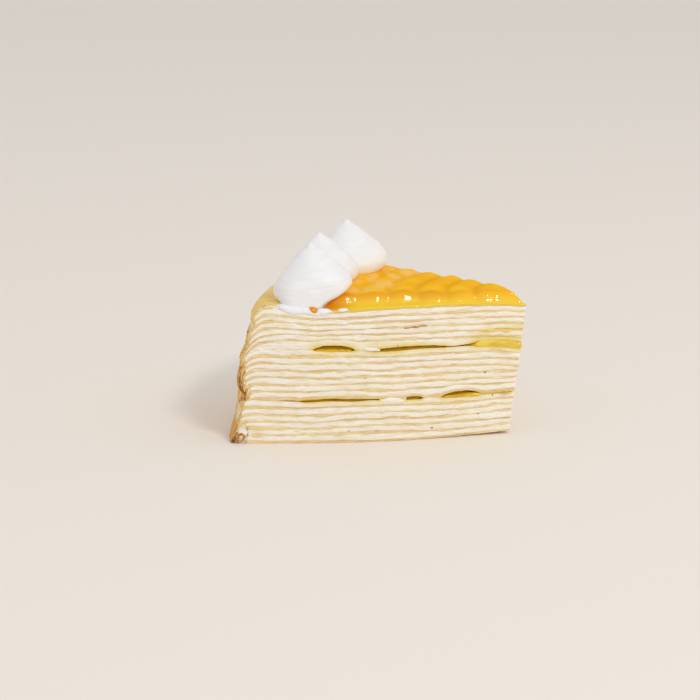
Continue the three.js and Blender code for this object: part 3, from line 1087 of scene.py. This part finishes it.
def read_levels(table, z):
    """Values of a (column, level) table at the heights z of each column."""
    spot = np.clip((z - EDGE_LEVELS[0]) / LEVEL_STEP, 0, len(EDGE_LEVELS) - 1.01)
    floor = np.floor(spot).astype(int)
    column = np.arange(table.shape[0])
    return mixed(table[column, floor], table[column, floor + 1], spot - floor)


def lower_cover(cover, start, length, inner):
    """The table of how near the hanging edges come at each height, with one more edge."""
    depth = (start[:, None] - EDGE_LEVELS[None]) / length[:, None]
    row = np.clip(depth, 0, 1) * (EDGE_ROWS - 1)
    low = np.floor(np.minimum(row, EDGE_ROWS - 1.01)).astype(int)
    column = np.arange(cover.shape[0])[:, None]
    reached = mixed(inner[low, column], inner[low + 1, column], row - low)
    here = (depth > -0.1) & (depth < 1.02)
    return np.where(here, np.minimum(cover, reached), cover)


def end_of_layer(index, turn):
    """The last stretch of a crepe inside the cake, (row, column): its middle line, its
    thickness, and the distance of its end from the tip's leaning line."""
    from_rim = end_inset(index, turn) + np.linspace(INSIDE_REACH, 0, INSIDE_ROWS)[:, None]
    share = 1 - from_rim / RADIUS_AT_BASE
    u, v = share * RADIUS_AT_BASE * np.cos(turn), share * RADIUS_AT_BASE * np.sin(turn)
    low, high = border(index, index, u, v), border(index, index + 1, u, v)
    line = mixed(low, high, 0.5)
    run_r = INSIDE_REACH / (INSIDE_ROWS - 1)
    slope = run_r / np.hypot(run_r, np.gradient(line[..., 2], axis=0))
    end_u, end_v, end_z = line[-1].T
    lean = np.interp(end_z, RIM_Z, RIM_LEAN)
    end_r = np.hypot(end_u + lean, end_v - bulge_at(share[-1], turn)[1])
    return line, (high - low)[..., 2] * slope, end_r


def folded_out(number, along, s):
    """How far folds and ripples push a free edge out: more toward its free end, and less by
    the front cut."""
    fold = 0.5 + 0.5 * wander(along / FOLD_LONG, number * 0.9, s * 0.8, 79, 2)
    ripple = 0.5 + 0.5 * wander(along / RIPPLE_LONG, number * 2.3, s * 1.5, 81, 1)
    by_cut = mixed(0.3, 1, rise(along / 12))
    return (FOLD_OUT * fold * s**1.5 + RIPPLE_OUT * ripple * s**2) * by_cut


def softened(rows, times):
    """Rows that are smoothed so many times along the first axis, with both ends kept."""
    for _ in range(times):
        rows = np.concatenate([rows[:1], (rows[:-2] + 2 * rows[1:-1] + rows[2:]) / 4, rows[-1:]])
    return rows


def edge_path(index, turn, cover):
    """The middle line of a crepe's free edge, from inside the layer to its end and down to
    its free end, over the rim's turns. It hangs inside the edges over it with room for cream,
    or on the cake's outer side where none is, and outside the layers' ends and the roll.
    Gives the line, its thickness, where it starts to hang and how far it hangs, and its
    inner side."""
    number = int(LAYERS[index]["name"][-2:])
    along = turn * RADIUS_AT_BASE
    s = np.linspace(0, 1, EDGE_ROWS)[:, None]
    inside, inside_thick, start_r = end_of_layer(index, turn)
    start_z = inside[-1, :, 2]
    length = edge_length(number, turn, start_z)
    fallen = length * s
    z = start_z - fallen
    thick = mixed(0.9 * inside_thick[-1], EDGE_THICK, rise(fallen / EDGE_THINNED))

    outer = np.interp(z, RIM_Z, RIM_R) + side_offset(turn, z)
    room = mixed(EDGE_ROOM["start"], EDGE_ROOM["end"], s)
    room = room * (1 + 0.4 * wander(along / 4, number, s, 83, 1))
    under_cover = read_levels(cover, z) - room
    base = np.minimum(outer + folded_out(number, along, s), under_cover) - thick / 2
    roll = curl_size(turn)
    ends = outer - END_INSET["crepe"] - BUNCH_ROOM * bunch_share(turn, z)
    ends = np.where(z < 2 * roll + 1, start_r, ends) + thick / 2
    base = mixed(start_r, np.maximum(base, ends), rise(fallen / EDGE_EASE))
    radius = np.maximum(np.minimum(softened(base, 5), base), np.minimum(start_r, ends))
    beside = np.sqrt(np.clip(roll**2 - (z - roll) ** 2, 0, None))
    over_roll = CURL_FROM_TIP + beside + thick / 2
    meets_roll = (beside > 0) & (number > LAST_ROLLED)
    radius = np.where(meets_roll, np.maximum(radius, over_roll), radius)

    hung = thick * np.sqrt(np.clip(1 - s**14, 0.02, 1))
    grown = 0.9 * mixed(0.6, 1.0, rise(np.linspace(0, 1, INSIDE_ROWS)))[:, None]
    return {
        "line": np.concatenate([inside[:-1], round_the_rim(radius, turn, z)]),
        "thick": np.concatenate([(inside_thick * grown)[:-1], hung]),
        "start": start_z, "length": length, "inner": radius - hung / 2,
    }


def tucked(path, turn, least):
    """The same lines, (row, column, xyz), whose ends draw back from both cuts: a least amount,
    and more on the part inside the layer."""
    inside = np.clip(1 - np.arange(len(path)) / (INSIDE_ROWS - 1), 0, 1) ** 0.5
    amount = (least + (TUCK - least) * inside)[:, None]
    moved = path.copy()
    for column, sign in ((0, 1), (-1, -1)):
        along_rim = np.array([-np.sin(turn[column]), np.cos(turn[column]), 0])
        moved[:, column] += sign * amount * along_rim
    return moved


def toast_of_edge(number, turn, z):
    """How toasted a free edge is, (row, column): more at its free end, in patches, on the
    long ones and in the bunch, and not at all inside the layer."""
    free = np.concatenate([np.zeros(INSIDE_ROWS - 1), np.linspace(0, 1, EDGE_ROWS)])[:, None]
    patch = wander(turn * RADIUS_AT_BASE / 6, number * 1.9, free * 0.6, 89, 2)
    toast = 0.34 + 0.35 * free**4 + 0.42 * patch + 0.35 * long_share(number, turn)
    toast = toast + 0.45 * bunch_share(turn, z)
    return np.clip(toast * rise(free * 4), 0, 1)


def crepe_edge_shell(number, turn, edge):
    """A crepe's free edge as a strip whose section is a thin closed loop: its middle line,
    moved by half its thickness to either side, across the line's run."""
    path = tucked(edge["line"], turn, 0.0)
    turned = np.stack([np.cos(turn), np.sin(turn)], axis=-1)
    run = np.gradient(path, axis=0)
    run_r = run[..., 0] * turned[:, 0] + run[..., 1] * turned[:, 1]
    size = np.maximum(np.hypot(run_r, run[..., 2]), 1e-6)
    out = np.stack([
        -run[..., 2] / size * turned[:, 0], -run[..., 2] / size * turned[:, 1], run_r / size
    ], axis=-1) * edge["thick"][..., None] / 2
    rings = np.concatenate([path + out, (path - out)[::-1]])
    rings[..., 2] = np.maximum(rings[..., 2], 0.08)
    toast = toast_of_edge(number, turn, edge["line"][..., 2])
    cut = np.zeros(len(turn))
    cut[[0, -1]] = 1
    marks = {"cut": cut[:, None], "toast": np.concatenate([toast, toast[::-1]]).T}
    return tube(np.swapaxes(rings, 0, 1), marks)


def along_line(edge, s):
    """Points of an edge's hanging part at the shares s of its length, (row, column)."""
    hanging = edge["line"][INSIDE_ROWS - 1:]
    row = np.clip(s, 0, 1) * (EDGE_ROWS - 1)
    low = np.floor(np.minimum(row, EDGE_ROWS - 1.01)).astype(int)
    column = np.arange(hanging.shape[1])[None]
    return mixed(hanging[low, column], hanging[low + 1, column], (row - low)[..., None])


def cream_edge_shell(index, turn, below, above, part):
    """The cream between two crepes' free edges: its section lies between their middle lines,
    or between two shares of the way from the lower to the upper one, and ends part of the way
    down the lower one."""
    along = turn * RADIUS_AT_BASE
    keep = np.clip(0.55 + 0.35 * wander(along / 6, index * 1.3, 0.5, 85, 2), 0.15, 0.95)
    q = np.linspace(0, 1, CREAM_ROWS)[:, None]
    end = below["start"] - keep * below["length"]
    hanging = (
        (below, along_line(below, keep * q)),
        (above, along_line(above, (above["start"] - end) / above["length"] * q)),
    )
    lower, upper = (
        tucked(np.concatenate([edge["line"][: INSIDE_ROWS - 1], line]), turn, CREAM_TUCK)
        for edge, line in hanging
    )
    rings = np.concatenate([mixed(lower, upper, part[1]), mixed(lower, upper, part[0])[::-1]])
    rings[..., 2] = np.maximum(rings[..., 2], 0.1)
    # Half the curd's yellow is painted over this cream as a warm tint for its shaded sides; no curd
    # lies here.
    return tube(np.swapaxes(rings, 0, 1), {"stain": 0.5})


def hanging_edges():
    """The free edges of the crepes, from the top down, and the cream between them, as
    {layer name: closed surface}."""
    turn = np.linspace(0, WEDGE, int(RADIUS_AT_BASE * WEDGE / EDGE_STEP))
    cover = np.full((len(turn), len(EDGE_LEVELS)), 2 * RADIUS_AT_BASE)
    edges, made = {}, {}
    for index in reversed(range(len(LAYERS))):
        layer = LAYERS[index]
        if layer["kind"] == "crepe":
            edge = edges[index] = edge_path(index, turn, cover)
            cover = lower_cover(cover, edge["start"], edge["length"], edge["inner"])
            made[layer["name"]] = crepe_edge_shell(int(layer["name"][-2:]), turn, edge)
    crepes = sorted(edges)
    for low, high in zip(crepes, crepes[1:]):
        creams = [i for i in range(low + 1, high) if LAYERS[i]["kind"] == "cream"]
        for i, index in enumerate(creams):
            part = (i / len(creams), (i + 1) / len(creams))
            made[LAYERS[index]["name"]] = cream_edge_shell(
                index, turn, edges[low], edges[high], part
            )
    return made


def curl_shell():
    """The rolled edge: a thin spiral section, wound out from its middle, carried along the
    foot of the rim while it shrinks. At the front cut it stands out a little."""
    turn = np.linspace(-0.009, WEDGE * CURL_REACH * 0.98, CURL_STEPS)[:, None]
    wound = np.linspace(0, 1, 70)
    angle = 2 * np.pi * CURL_TURNS * wound - 0.9
    size = curl_size(turn)
    middle = size * mixed(0.28, 0.9, wound)
    thick = CURL_THICK * size * np.sqrt(np.clip(1 - np.abs(2 * wound - 1) ** 10, 0.05, 1))
    radius = np.concatenate([middle + thick / 2, (middle - thick / 2)[:, ::-1]], axis=1)
    angle = np.concatenate([angle, angle[::-1]])
    ring_r = CURL_FROM_TIP + radius * np.cos(angle)
    ring_z = np.maximum(size + radius * np.sin(angle) + 0.1, 0.1)
    rings = np.stack([
        ring_r * np.cos(turn) - np.interp(ring_z, RIM_Z, RIM_LEAN),
        ring_r * np.sin(turn) + 0.02 * ring_z,
        ring_z,
    ], axis=-1)
    return tube(rings, {"toast": np.repeat(list(CURL_TOAST.values()), len(wound))})


def curl_bed_shell():
    """The cream round the roll: a squarish section a little wider than it, the curve where
    the fourth powers of its half sides add up to 1, set back a little from the front cut."""
    turn = np.linspace(0.001, WEDGE * CURL_REACH * 0.98, CURL_STEPS)[:, None]
    around = np.linspace(0, 2 * np.pi, 24, endpoint=False)
    size = 1.25 * curl_size(turn)
    squared = (np.cos(around) ** 4 + np.sin(around) ** 4) ** 0.25
    ring_r = CURL_FROM_TIP - 1.0 + 1.05 * size * np.cos(around) / squared
    ring_z = np.maximum(size * (1.02 + np.sin(around) / squared), 0.12)
    return tube(round_the_rim(ring_r, turn, ring_z))


# ---- The topping ---------------------------------------------------------------------

# The topping's grid, and its own tip's distance from the cake's and reach from there.
TOPPING_ROWS = 180
TOPPING_COLUMNS = 140
TOPPING_TIP = 0.3 * TOPPING_INSET / np.sin(WEDGE / 2)
TOPPING_REACH = TOPPING_RADIUS - TOPPING_TIP

# The thin skirt round the topping: its thickness, its rounded edge's width, how wide it is
# by the tip and at the end, and how much wider in a valley and right at the tip.
SKIRT_THICK = 0.5
SKIRT_ROUND = 0.5
SKIRT_BY_TIP = 0.3
SKIRT_AT_END = 3.0
SKIRT_IN_VALLEY = 1.2
SKIRT_AT_TIP = 0.6

# The flank's width as a share of its height, the waver of the sides, and how far the end
# goes in and out and reaches out by the front cut.
FLANK_WIDE = 0.58
SIDE_WAVER = 0.3
END_WAVER = 0.8
END_OUT = 5.0
END_OUT_FADE = 12.0

# How far from the topping's tip the orange, the front flank's amber and the pale swirls of painted
# reflection begin.
ORANGE_FROM = 62.0
AMBER_FROM = 8.0
PAINTED_REFLECTION_FROM = 46.0


def ridges_at(radius, turn):
    """The topping's ridges, from 0 between ridges to 1 on a crest: the size of a cosine over a
    warped distance, with its valleys rounded."""
    warp = radius + TOPPING_TIP + 0.9 * wander(turn * 5, radius / 22, 0.5, 109, 2)
    phase = np.maximum(0, warp - FIRST_RIDGE) / RIDGE_PITCH
    return np.sqrt(np.cos(np.pi * phase) ** 2 + 0.02) - 0.07


def topping_places(radius, turn, to_front):
    """Where the topping's grid lies in the plan. Its sides waver inward, and its end goes in
    and out and reaches further by the front cut."""
    near = SIDE_WAVER * np.minimum(1, radius / 8)
    front = near * (1 + wander(radius / 5, 0.3, 0.7, 101, 2))
    back = near * (1 + wander(radius / 5, 9.3, 0.7, 103, 2))
    angle = front / radius + turn / WEDGE * (WEDGE - (front + back) / radius)
    out = END_WAVER * wander(turn * 12, 0.5, 0.5, 107, 2)
    out = out + END_OUT * (1 - rise(to_front / END_OUT_FADE))
    distance = radius * (1 + out / TOPPING_REACH * rise(radius / TOPPING_REACH * 3 - 2))
    u = TOPPING_TIP * np.cos(WEDGE / 2) + distance * np.cos(angle)
    return u, TOPPING_TIP * np.sin(WEDGE / 2) + distance * np.sin(angle)


def topping_marks(radius, to_skirt, crest, body, calm):
    """What the topping's points carry: its body's part, orange by the kisses, painted shade in the
    valleys together with the front flank's amber, and where swirls of painted reflection go.
    to_skirt is the distance from the front skirt."""
    orange = rise((radius - ORANGE_FROM) / 10) * (1 - rise((to_skirt - 2) / 4))
    flank = rise(2.5 * body) * (1 - rise((to_skirt - 0.9 - 2.2 * crest) / 2.2))
    amber = 0.8 * flank * rise((radius - AMBER_FROM) / 30)
    return {
        "thick": body,
        "orange": 0.9 * orange,
        # Painted shade in the valleys, less where the ridges calm, and the front flank's amber.
        "valley": np.maximum((1 - crest) ** 2 * 0.7 * calm, amber),
        # Where the pale swirls of painted reflection go.
        "swirl": rise((radius - PAINTED_REFLECTION_FROM) / 10) * rise((to_skirt - 3) / 3),
    }


def topping_shell():
    """The topping as a grid of distance from its tip and turn. A thin skirt with a round edge
    goes all round, and from its inner side the body rises to its full thickness as
    (4t - t^4) / 3, steeply and then round. The skirt is wider in the valleys between the
    ridges and away from the tip, so the body's foot goes in and out with them."""
    radii = TOPPING_REACH * np.linspace(0.004, 1, TOPPING_ROWS) ** 0.9
    turns = WEDGE / 2 * (1 - np.cos(np.pi * np.linspace(0, 1, TOPPING_COLUMNS)))
    radius, turn = np.meshgrid(radii, turns, indexing="ij")
    to_front = radius * np.sin(turn)
    to_back = radius * np.sin(WEDGE - turn)
    to_end = TOPPING_REACH - radius

    crest = ridges_at(radius, turn)
    skirt_wide = mixed(SKIRT_BY_TIP, SKIRT_AT_END, rise((radius - 32) / 14))
    skirt_wide = skirt_wide + SKIRT_IN_VALLEY * (1 - crest) + SKIRT_AT_TIP * (1 - rise(radius / 12))
    to_edge = np.minimum(to_front - skirt_wide, to_back - 0.6 * skirt_wide)
    to_edge = np.minimum(to_edge, np.maximum(to_end, 0))
    calm = 1 - 0.6 * rise((radius - 50) / 18)
    lumps = 0.22 * wander(radius / 7, turn * 6, 0.5, 113, 2)
    lumps = lumps + 0.07 * wander(radius / 2.2, to_front / 1.8, 0.5, 117, 2)
    tall = TOPPING_THICK + RIDGE_HEIGHT * crest * calm + lumps - SKIRT_THICK
    body = np.clip(to_edge / (FLANK_WIDE * tall), 0, 1)
    body = (4 * body - body**4) / 3
    skirt = np.clip(np.minimum(np.minimum(to_front, to_back), to_end) / SKIRT_ROUND, 0, 1)
    thick = SKIRT_THICK * np.sqrt(1 - (1 - skirt) ** 2) + tall * body

    base = border(TOP, TOP + 1, *topping_places(radius, turn, to_front))
    over = base + thick[..., None] * np.array([0, 0, 1])
    under = base + np.array([0, 0, -0.02])
    rings = np.concatenate([over, under[:, ::-1]], axis=1)
    marks = topping_marks(radius, to_front - skirt_wide, crest, body, calm)
    both = {name: np.concatenate([mark, mark[:, ::-1]], axis=1) for name, mark in marks.items()}
    return tube(rings, both)


# ---- The kisses of cream -------------------------------------------------------------

# A kiss's profile: the cone over its belly, the belly, how sharply they meet, the foot, with
# its width as a share of the belly's, also the front kiss's by the cut and over the topping,
# and the peak's rounding.
CONE_TOP = 22.6
CONE_SLOPE = 1.0
BELLY_WIDE = 15.7
BELLY_POWER = 8
FOOT_HEIGHT = 5.2
FOOT_SHARE = 0.72
FOOT_AT_CUT = 0.98
FOOT_OVER_TOPPING = 0.42
PEAK_ROUND = 0.6

# Its grid, how it tilts back toward the rim, how far its peak leans, its swells as a share
# of its radius, the rings from the piping, and the softness of the knife's edge on it.
KISS_ROWS = 100
KISS_AROUND = 120
KISS_TILT = 0.12
KISS_LEAN = [0.7, 0.25]
KISS_SWELL = 0.022
KISS_RINGS = 0.1
KNIFE_SOFT = 1.2


def foot_share(name, around):
    """How wide a kiss stands, as a share of its belly, by direction. The knife dragged the
    front one down to the cut's edge, and it's undercut over the topping's end."""
    if name != "dollop_front":
        return FOOT_SHARE
    over = rise((0.1 - np.cos(around)) / 0.7)
    front = rise((-0.2 - np.sin(around)) / 0.5) * (1 - over)
    return mixed(mixed(FOOT_SHARE, FOOT_AT_CUT, front), FOOT_OVER_TOPPING, over)


def kiss_radius(height, foot_wide):
    """A kiss's radius at a height: the p-norm minimum of a cone and a round belly, drawn in
    toward the foot on a quarter-ellipse, a little drawn in under the peak, and round there."""
    cone = np.maximum(CONE_TOP - height, 0.01) * CONE_SLOPE
    both = (cone**-BELLY_POWER + BELLY_WIDE**-BELLY_POWER) ** (-1 / BELLY_POWER)
    low = np.clip(height / FOOT_HEIGHT, 0, 1)
    foot = mixed(foot_wide, 1, np.sqrt(1 - (1 - low) ** 2))
    peak = np.clip((height - KISS_TALL + PEAK_ROUND) / PEAK_ROUND, 0, 1)
    drawn = 1 - 0.3 * np.exp(-((height - KISS_TALL + 2 * PEAK_ROUND) / 1.3) ** 2)
    return both * foot * drawn * np.sqrt(1 - peak**2)


def kiss_shell(name, index):
    """A kiss as a turned profile with a small drawn peak, which leans. Slow swells and faint
    rings from the piping roughen it, and the knife has flattened what stood past the cut,
    with a softplus of the distance from it."""
    distance, degrees, size = KISSES[name]
    turn = np.radians(degrees)
    t = np.linspace(0, 1, KISS_ROWS)[:, None]
    around = np.linspace(0, 2 * np.pi, KISS_AROUND, endpoint=False)[None]
    height = KISS_TALL * (1 - (1 - t) ** 1.15)
    radius = kiss_radius(height, foot_share(name, around))
    swell = wander(np.cos(around) * 1.3, np.sin(around) * 1.3, t * 2 + index * 5, 127, 2)
    rings = KISS_RINGS * np.sin(t * 34 + around + index) * np.sin(np.pi * t)
    radius = np.maximum(radius * (1 + KISS_SWELL * swell) + rings, 0.02) * size
    x = distance * np.cos(turn) - TIP_OVERHANG + radius * np.cos(around) + KISS_LEAN[0] * t**3
    y = distance * np.sin(turn) + radius * np.sin(around) + KISS_LEAN[1] * t**3
    if name == "dollop_front":
        knife = -FRONT_BULGE * np.sin(np.pi * distance / RADIUS_AT_TOP) + 0.5
        streak = 0.1 * wander(x / 5, height / 0.8, 0.5, 131, 2)
        y = knife + streak + KNIFE_SOFT * np.logaddexp(0, (y - knife) / KNIFE_SOFT)
        turn = 0.0
    push = bulge_at(distance / RADIUS_AT_TOP, turn)[1]
    floor = CAKE_HEIGHT - 0.05 - pressed_at(x + TIP_OVERHANG, y - push, CAKE_HEIGHT)
    tilt = KISS_TILT * (1 - t) ** 0.5
    raised = height * size - tilt * (radius * np.cos(around) - 10 * size)
    z = mixed(floor, CAKE_HEIGHT, rise(height / 8)) + np.where(t < 0.02, 0, raised)
    rows = np.stack([x, y, z], axis=-1)
    return loft(rows, rows[0].mean(axis=0), rows[-1].mean(axis=0) + np.array([0, 0, 0.08]))


# ---- Smears and crumbs ---------------------------------------------------------------

# How far a patch's rim stands out, how far it sinks beyond that, and how deep its back lies.
SMEAR_RIM = 0.12
SMEAR_SINK = 0.45
SMEAR_DEEP = 1.1


def smear_shell(side, blobs, thick, seed, marks=None):
    """A thin patch on the cake's skin. Its thickness is the root of the highest of some
    domes, given as [along, down, half along, half down], plus some noise, and where that's
    under 0 the patch sinks into the cake."""
    mids, halves = np.array(blobs)[:, :2], np.array(blobs)[:, 2:]
    low, high = (mids - 1.35 * halves).min(axis=0), (mids + 1.35 * halves).max(axis=0)
    along = np.linspace(low[0], high[0], max(24, int((high[0] - low[0]) / 0.25)))[:, None]
    down = np.linspace(low[1], high[1], max(20, int((high[1] - low[1]) / 0.22)))[None]
    along, down = np.broadcast_arrays(along, down)
    domes = [
        1 - ((along - a) / half_a) ** 2 - ((down - d) / half_d) ** 2
        for (a, d), (half_a, half_d) in zip(mids, halves)
    ]
    field = np.maximum.reduce(domes) + 0.3 * wander(along / 1.6, down / 0.9, 0.5, seed, 2)
    lumpy = 1 + 0.25 * wander(along / 2.2, down / 2.2, 0.5, seed + 9, 2)
    tall = thick * lumpy * np.sqrt(np.clip(field, 0, 1))
    offset = SMEAR_RIM + np.where(field > 0, tall, -SMEAR_SINK * np.clip(-3 * field, 0, 1))
    points, outward = skin(side, along, down)
    outer = points + outward * offset[..., None]
    inner = points - outward * SMEAR_DEEP
    return tube(np.concatenate([outer, inner[:, ::-1]], axis=1), marks)


def crumb_shell(side, along, down, sizes, seed):
    """A crumb as a lumpy ellipsoid on the skin of a cut, with its half sizes along the cut,
    up and outward."""
    turn = np.linspace(0, np.pi, 9)[1:-1, None]
    around = np.linspace(0, 2 * np.pi, 12, endpoint=False)[None]
    x, y, z = np.broadcast_arrays(
        np.sin(turn) * np.cos(around), np.sin(turn) * np.sin(around), np.cos(turn)
    )
    lump = 1 + 0.3 * wander(x * 1.5, y * 1.5, z * 1.5 + seed, 149, 1)
    middle, outward = skin(side, np.array(along), np.array(down))
    up = np.array([0, 0, 1])
    across = np.cross(up, outward)
    axes = np.stack([across * sizes[0], up * sizes[1], outward * sizes[2]])
    rows = middle + (np.stack([x, y, z], axis=-1) * lump[..., None]) @ axes
    return loft(rows, middle + axes[2], middle - axes[2])


# The patches on the front cut, as [along, down, half along, half down]: cream that the knife
# dragged from the front kiss's foot over the edge, and small dabs of cream and of curd.
FOOT_SMEAR = [
    [90, -1.5, 5.5, 3.2], [85, -1.5, 6.5, 3.0], [83, 0.3, 5, 1.3], [89.5, 0.5, 4.5, 1.5],
    [92.5, -0.5, 3, 1.5], [79.5, 0.0, 3.5, 1.1],
]
CREAM_DABS = [[[71.5, -0.4, 2.0, 0.9]], [[70.5, 5.0, 1.1, 0.8]]]
IVORY_DABS = [
    [[48.8, 36.5, 3.4, 1.0], [46.2, 37.0, 2.2, 0.7]],
    [[58.5, 16.6, 2.2, 0.7], [60.5, 16.2, 1.6, 0.5]],
]
CURD_SMEARS = [[[12, 10.4, 2.8, 0.6]], [[7.4, 10.7, 1.8, 0.5]], [[16, 10.2, 1.6, 0.4]]]
CURD_DABS = [[[82.6, -0.4, 1.9, 1.2]]]

# Each piece's patches, their thickness, the first one's seed, the slot and the marks.
SMEARS = {
    "cream_smear_front": ([FOOT_SMEAR], 0.9, 151, "dollop", {}),
    "cream_dabs_front": (CREAM_DABS, 0.5, 157, "dollop", {}),
    "cream_dabs_in_slots": (IVORY_DABS, 0.3, 163, "cream", {}),
    "curd_smears": (CURD_SMEARS, 0.3, 173, "curd", {"pale": 0.6}),
    "curd_dab": (CURD_DABS, 1.5, 179, "topping", {"thick": 1, "orange": 0.8}),
}

# Crumbs on the front cut as [along, down, half along, half up, half outward].
CRUMBS_FRONT = [
    [43.5, 8.0, 2.2, 0.3, 0.28], [40.2, 7.6, 1.6, 0.24, 0.25], [46.5, 8.3, 1.0, 0.2, 0.22],
    [49.0, 15.4, 0.5, 0.3, 0.3], [13.5, 27.2, 0.3, 0.3, 0.3], [31.8, 48.2, 0.4, 0.3, 0.3],
    [14.2, 43.6, 0.35, 0.3, 0.3], [63.8, 48.0, 0.6, 0.26, 0.3], [27.0, 30.5, 0.25, 0.2, 0.2],
    [60.0, 27.6, 0.25, 0.2, 0.2], [9.5, 36.4, 0.35, 0.32, 0.3],
]
CRUMB_COUNT_BACK = 9


def build_smears():
    """The patches of cream and curd on the front cut, one piece for each kind."""
    for name, (patches, thick, seed, slot, marks) in SMEARS.items():
        shells = [
            smear_shell("front", blobs, thick, seed + i, marks) for i, blobs in enumerate(patches)
        ]
        make_piece(name, shells, FINISHES[slot])


def build_crumbs():
    """The crumbs, as one piece: the front cut's from the table, and some on the back cut."""
    crumbs = [
        crumb_shell("front", along, down, sizes, i)
        for i, (along, down, *sizes) in enumerate(CRUMBS_FRONT)
    ]
    random = np.random.default_rng(5)
    for i in range(CRUMB_COUNT_BACK):
        along, down = random.uniform(12, 92), random.uniform(5, 46)
        sizes = random.uniform(0.2, 0.45, 3)
        crumbs.append(crumb_shell("back", along, down, sizes, 50 + i))
    make_piece("crumbs", crumbs, FINISHES["crumb"])


# ---- Putting the slice together ------------------------------------------------------

FINISHES = {
    "crepe": crepe_finish(),
    "cream": cream_finish(),
    "curd": curd_finish(),
    "topping": topping_finish(),
    "dollop": kiss_finish(),
    "crumb": crumb_finish(),
}


def build_slice():
    """A piece for each layer, with its crepe's or cream's free edge and the roll at the foot
    of the rim, and a piece for the topping and for each kiss."""
    edges = hanging_edges()
    rolls = {"crepe_01": curl_shell, "cream_01": curl_bed_shell}
    for index, layer in enumerate(LAYERS):
        name, kind = layer["name"], layer["kind"]
        shells = [layer_shell(index)]
        if name in edges:
            shells.append(edges[name])
        if name in rolls:
            shells.append(rolls[name]())
        make_piece(f"slice_{name}", shells, FINISHES[kind], [name])
    make_piece("slice_topping", [topping_shell()], FINISHES["topping"], ["topping"])
    for index, name in enumerate(KISSES):
        make_piece(f"slice_{name}", [kiss_shell(name, index)], FINISHES["dollop"], [name])


# ---- The stage -----------------------------------------------------------------------

# The camera's place in metres, its turn and tilt, and its lens in mm.
CAMERA_PLACE = (-0.09925, -0.72437, 0.2085)
CAMERA_TURN = np.radians(-7.35)
CAMERA_DOWN = np.radians(14.12)
CAMERA_LENS = 97.71

# The key light's distance, turn from +X and height over the floor, its size and its power,
# and the floor's half width, all in metres and watts.
KEY_DISTANCE = 2.0
KEY_TURN = np.radians(-62)
KEY_UP = np.radians(43)
KEY_SIZE = (0.4, 0.24)
KEY_POWER = 10
FLOOR_HALF = 6.0


def build_floor():
    """A pale floor."""
    mesh = bpy.data.meshes.new("floor")
    corners = [(x * FLOOR_HALF, y * FLOOR_HALF, 0) for x, y in ((-1, -1), (1, -1), (1, 1), (-1, 1))]
    mesh.from_pydata(corners, [], [(0, 1, 2, 3)])
    floor = bpy.data.objects.new("floor", mesh)
    bpy.context.scene.collection.objects.link(floor)
    finish = Finish("floor", Roughness=0.7, Specular_IOR_Level=0.2, Base_Color=colour("#f6eee3"))
    mesh.materials.append(finish.material)


def build_room():
    """A plain bright room, cool white all round but for a warm wall behind the cake."""
    world = bpy.data.worlds.new("room")
    world.use_nodes = True
    bpy.context.scene.world = world
    room = Nodes(world.node_tree)
    background = room.nodes["Background"]
    direction = room.nodes.new("ShaderNodeTexCoord")
    split = room.nodes.new("ShaderNodeSeparateXYZ")
    room.links.new(direction.outputs["Generated"], split.inputs["Vector"])
    low = room.spread(split.outputs["Z"], 0.55, 0.1)
    behind = room.spread(split.outputs["Y"], -0.2, 0.5)
    wall = room.blend(room.maths("MULTIPLY", low, behind), "#dadce0", "#f1d3b1")
    room.links.new(wall, background.inputs["Color"])
    background.inputs["Strength"].default_value = 1.0


def build_key_light():
    """One soft key light from the front right, turned to the cake."""
    lamp = bpy.data.lights.new("key", "AREA")
    lamp.shape = "RECTANGLE"
    lamp.size, lamp.size_y = KEY_SIZE
    lamp.energy = KEY_POWER
    lamp.color = (1.0, 0.97, 0.93)
    key = bpy.data.objects.new("key", lamp)
    away = Vector((
        np.cos(KEY_TURN) * np.cos(KEY_UP), np.sin(KEY_TURN) * np.cos(KEY_UP), np.sin(KEY_UP)
    ))
    key.location = away * KEY_DISTANCE
    key.rotation_euler = away.to_track_quat("Z", "Y").to_euler()
    bpy.context.scene.collection.objects.link(key)


def build_camera():
    """The camera, which looks a little down at the front cut."""
    lens = bpy.data.cameras.new("camera")
    lens.lens = CAMERA_LENS
    lens.sensor_width = 36.0
    lens.clip_start = 0.05
    camera = bpy.data.objects.new("camera", lens)
    camera.location = CAMERA_PLACE
    camera.rotation_euler = (np.pi / 2 - CAMERA_DOWN, 0, CAMERA_TURN)
    bpy.context.scene.collection.objects.link(camera)
    bpy.context.scene.camera = camera
    bpy.context.scene.view_settings.view_transform = "Standard"


build_slice()
build_smears()
build_crumbs()
build_floor()
build_room()
build_key_light()
build_camera()
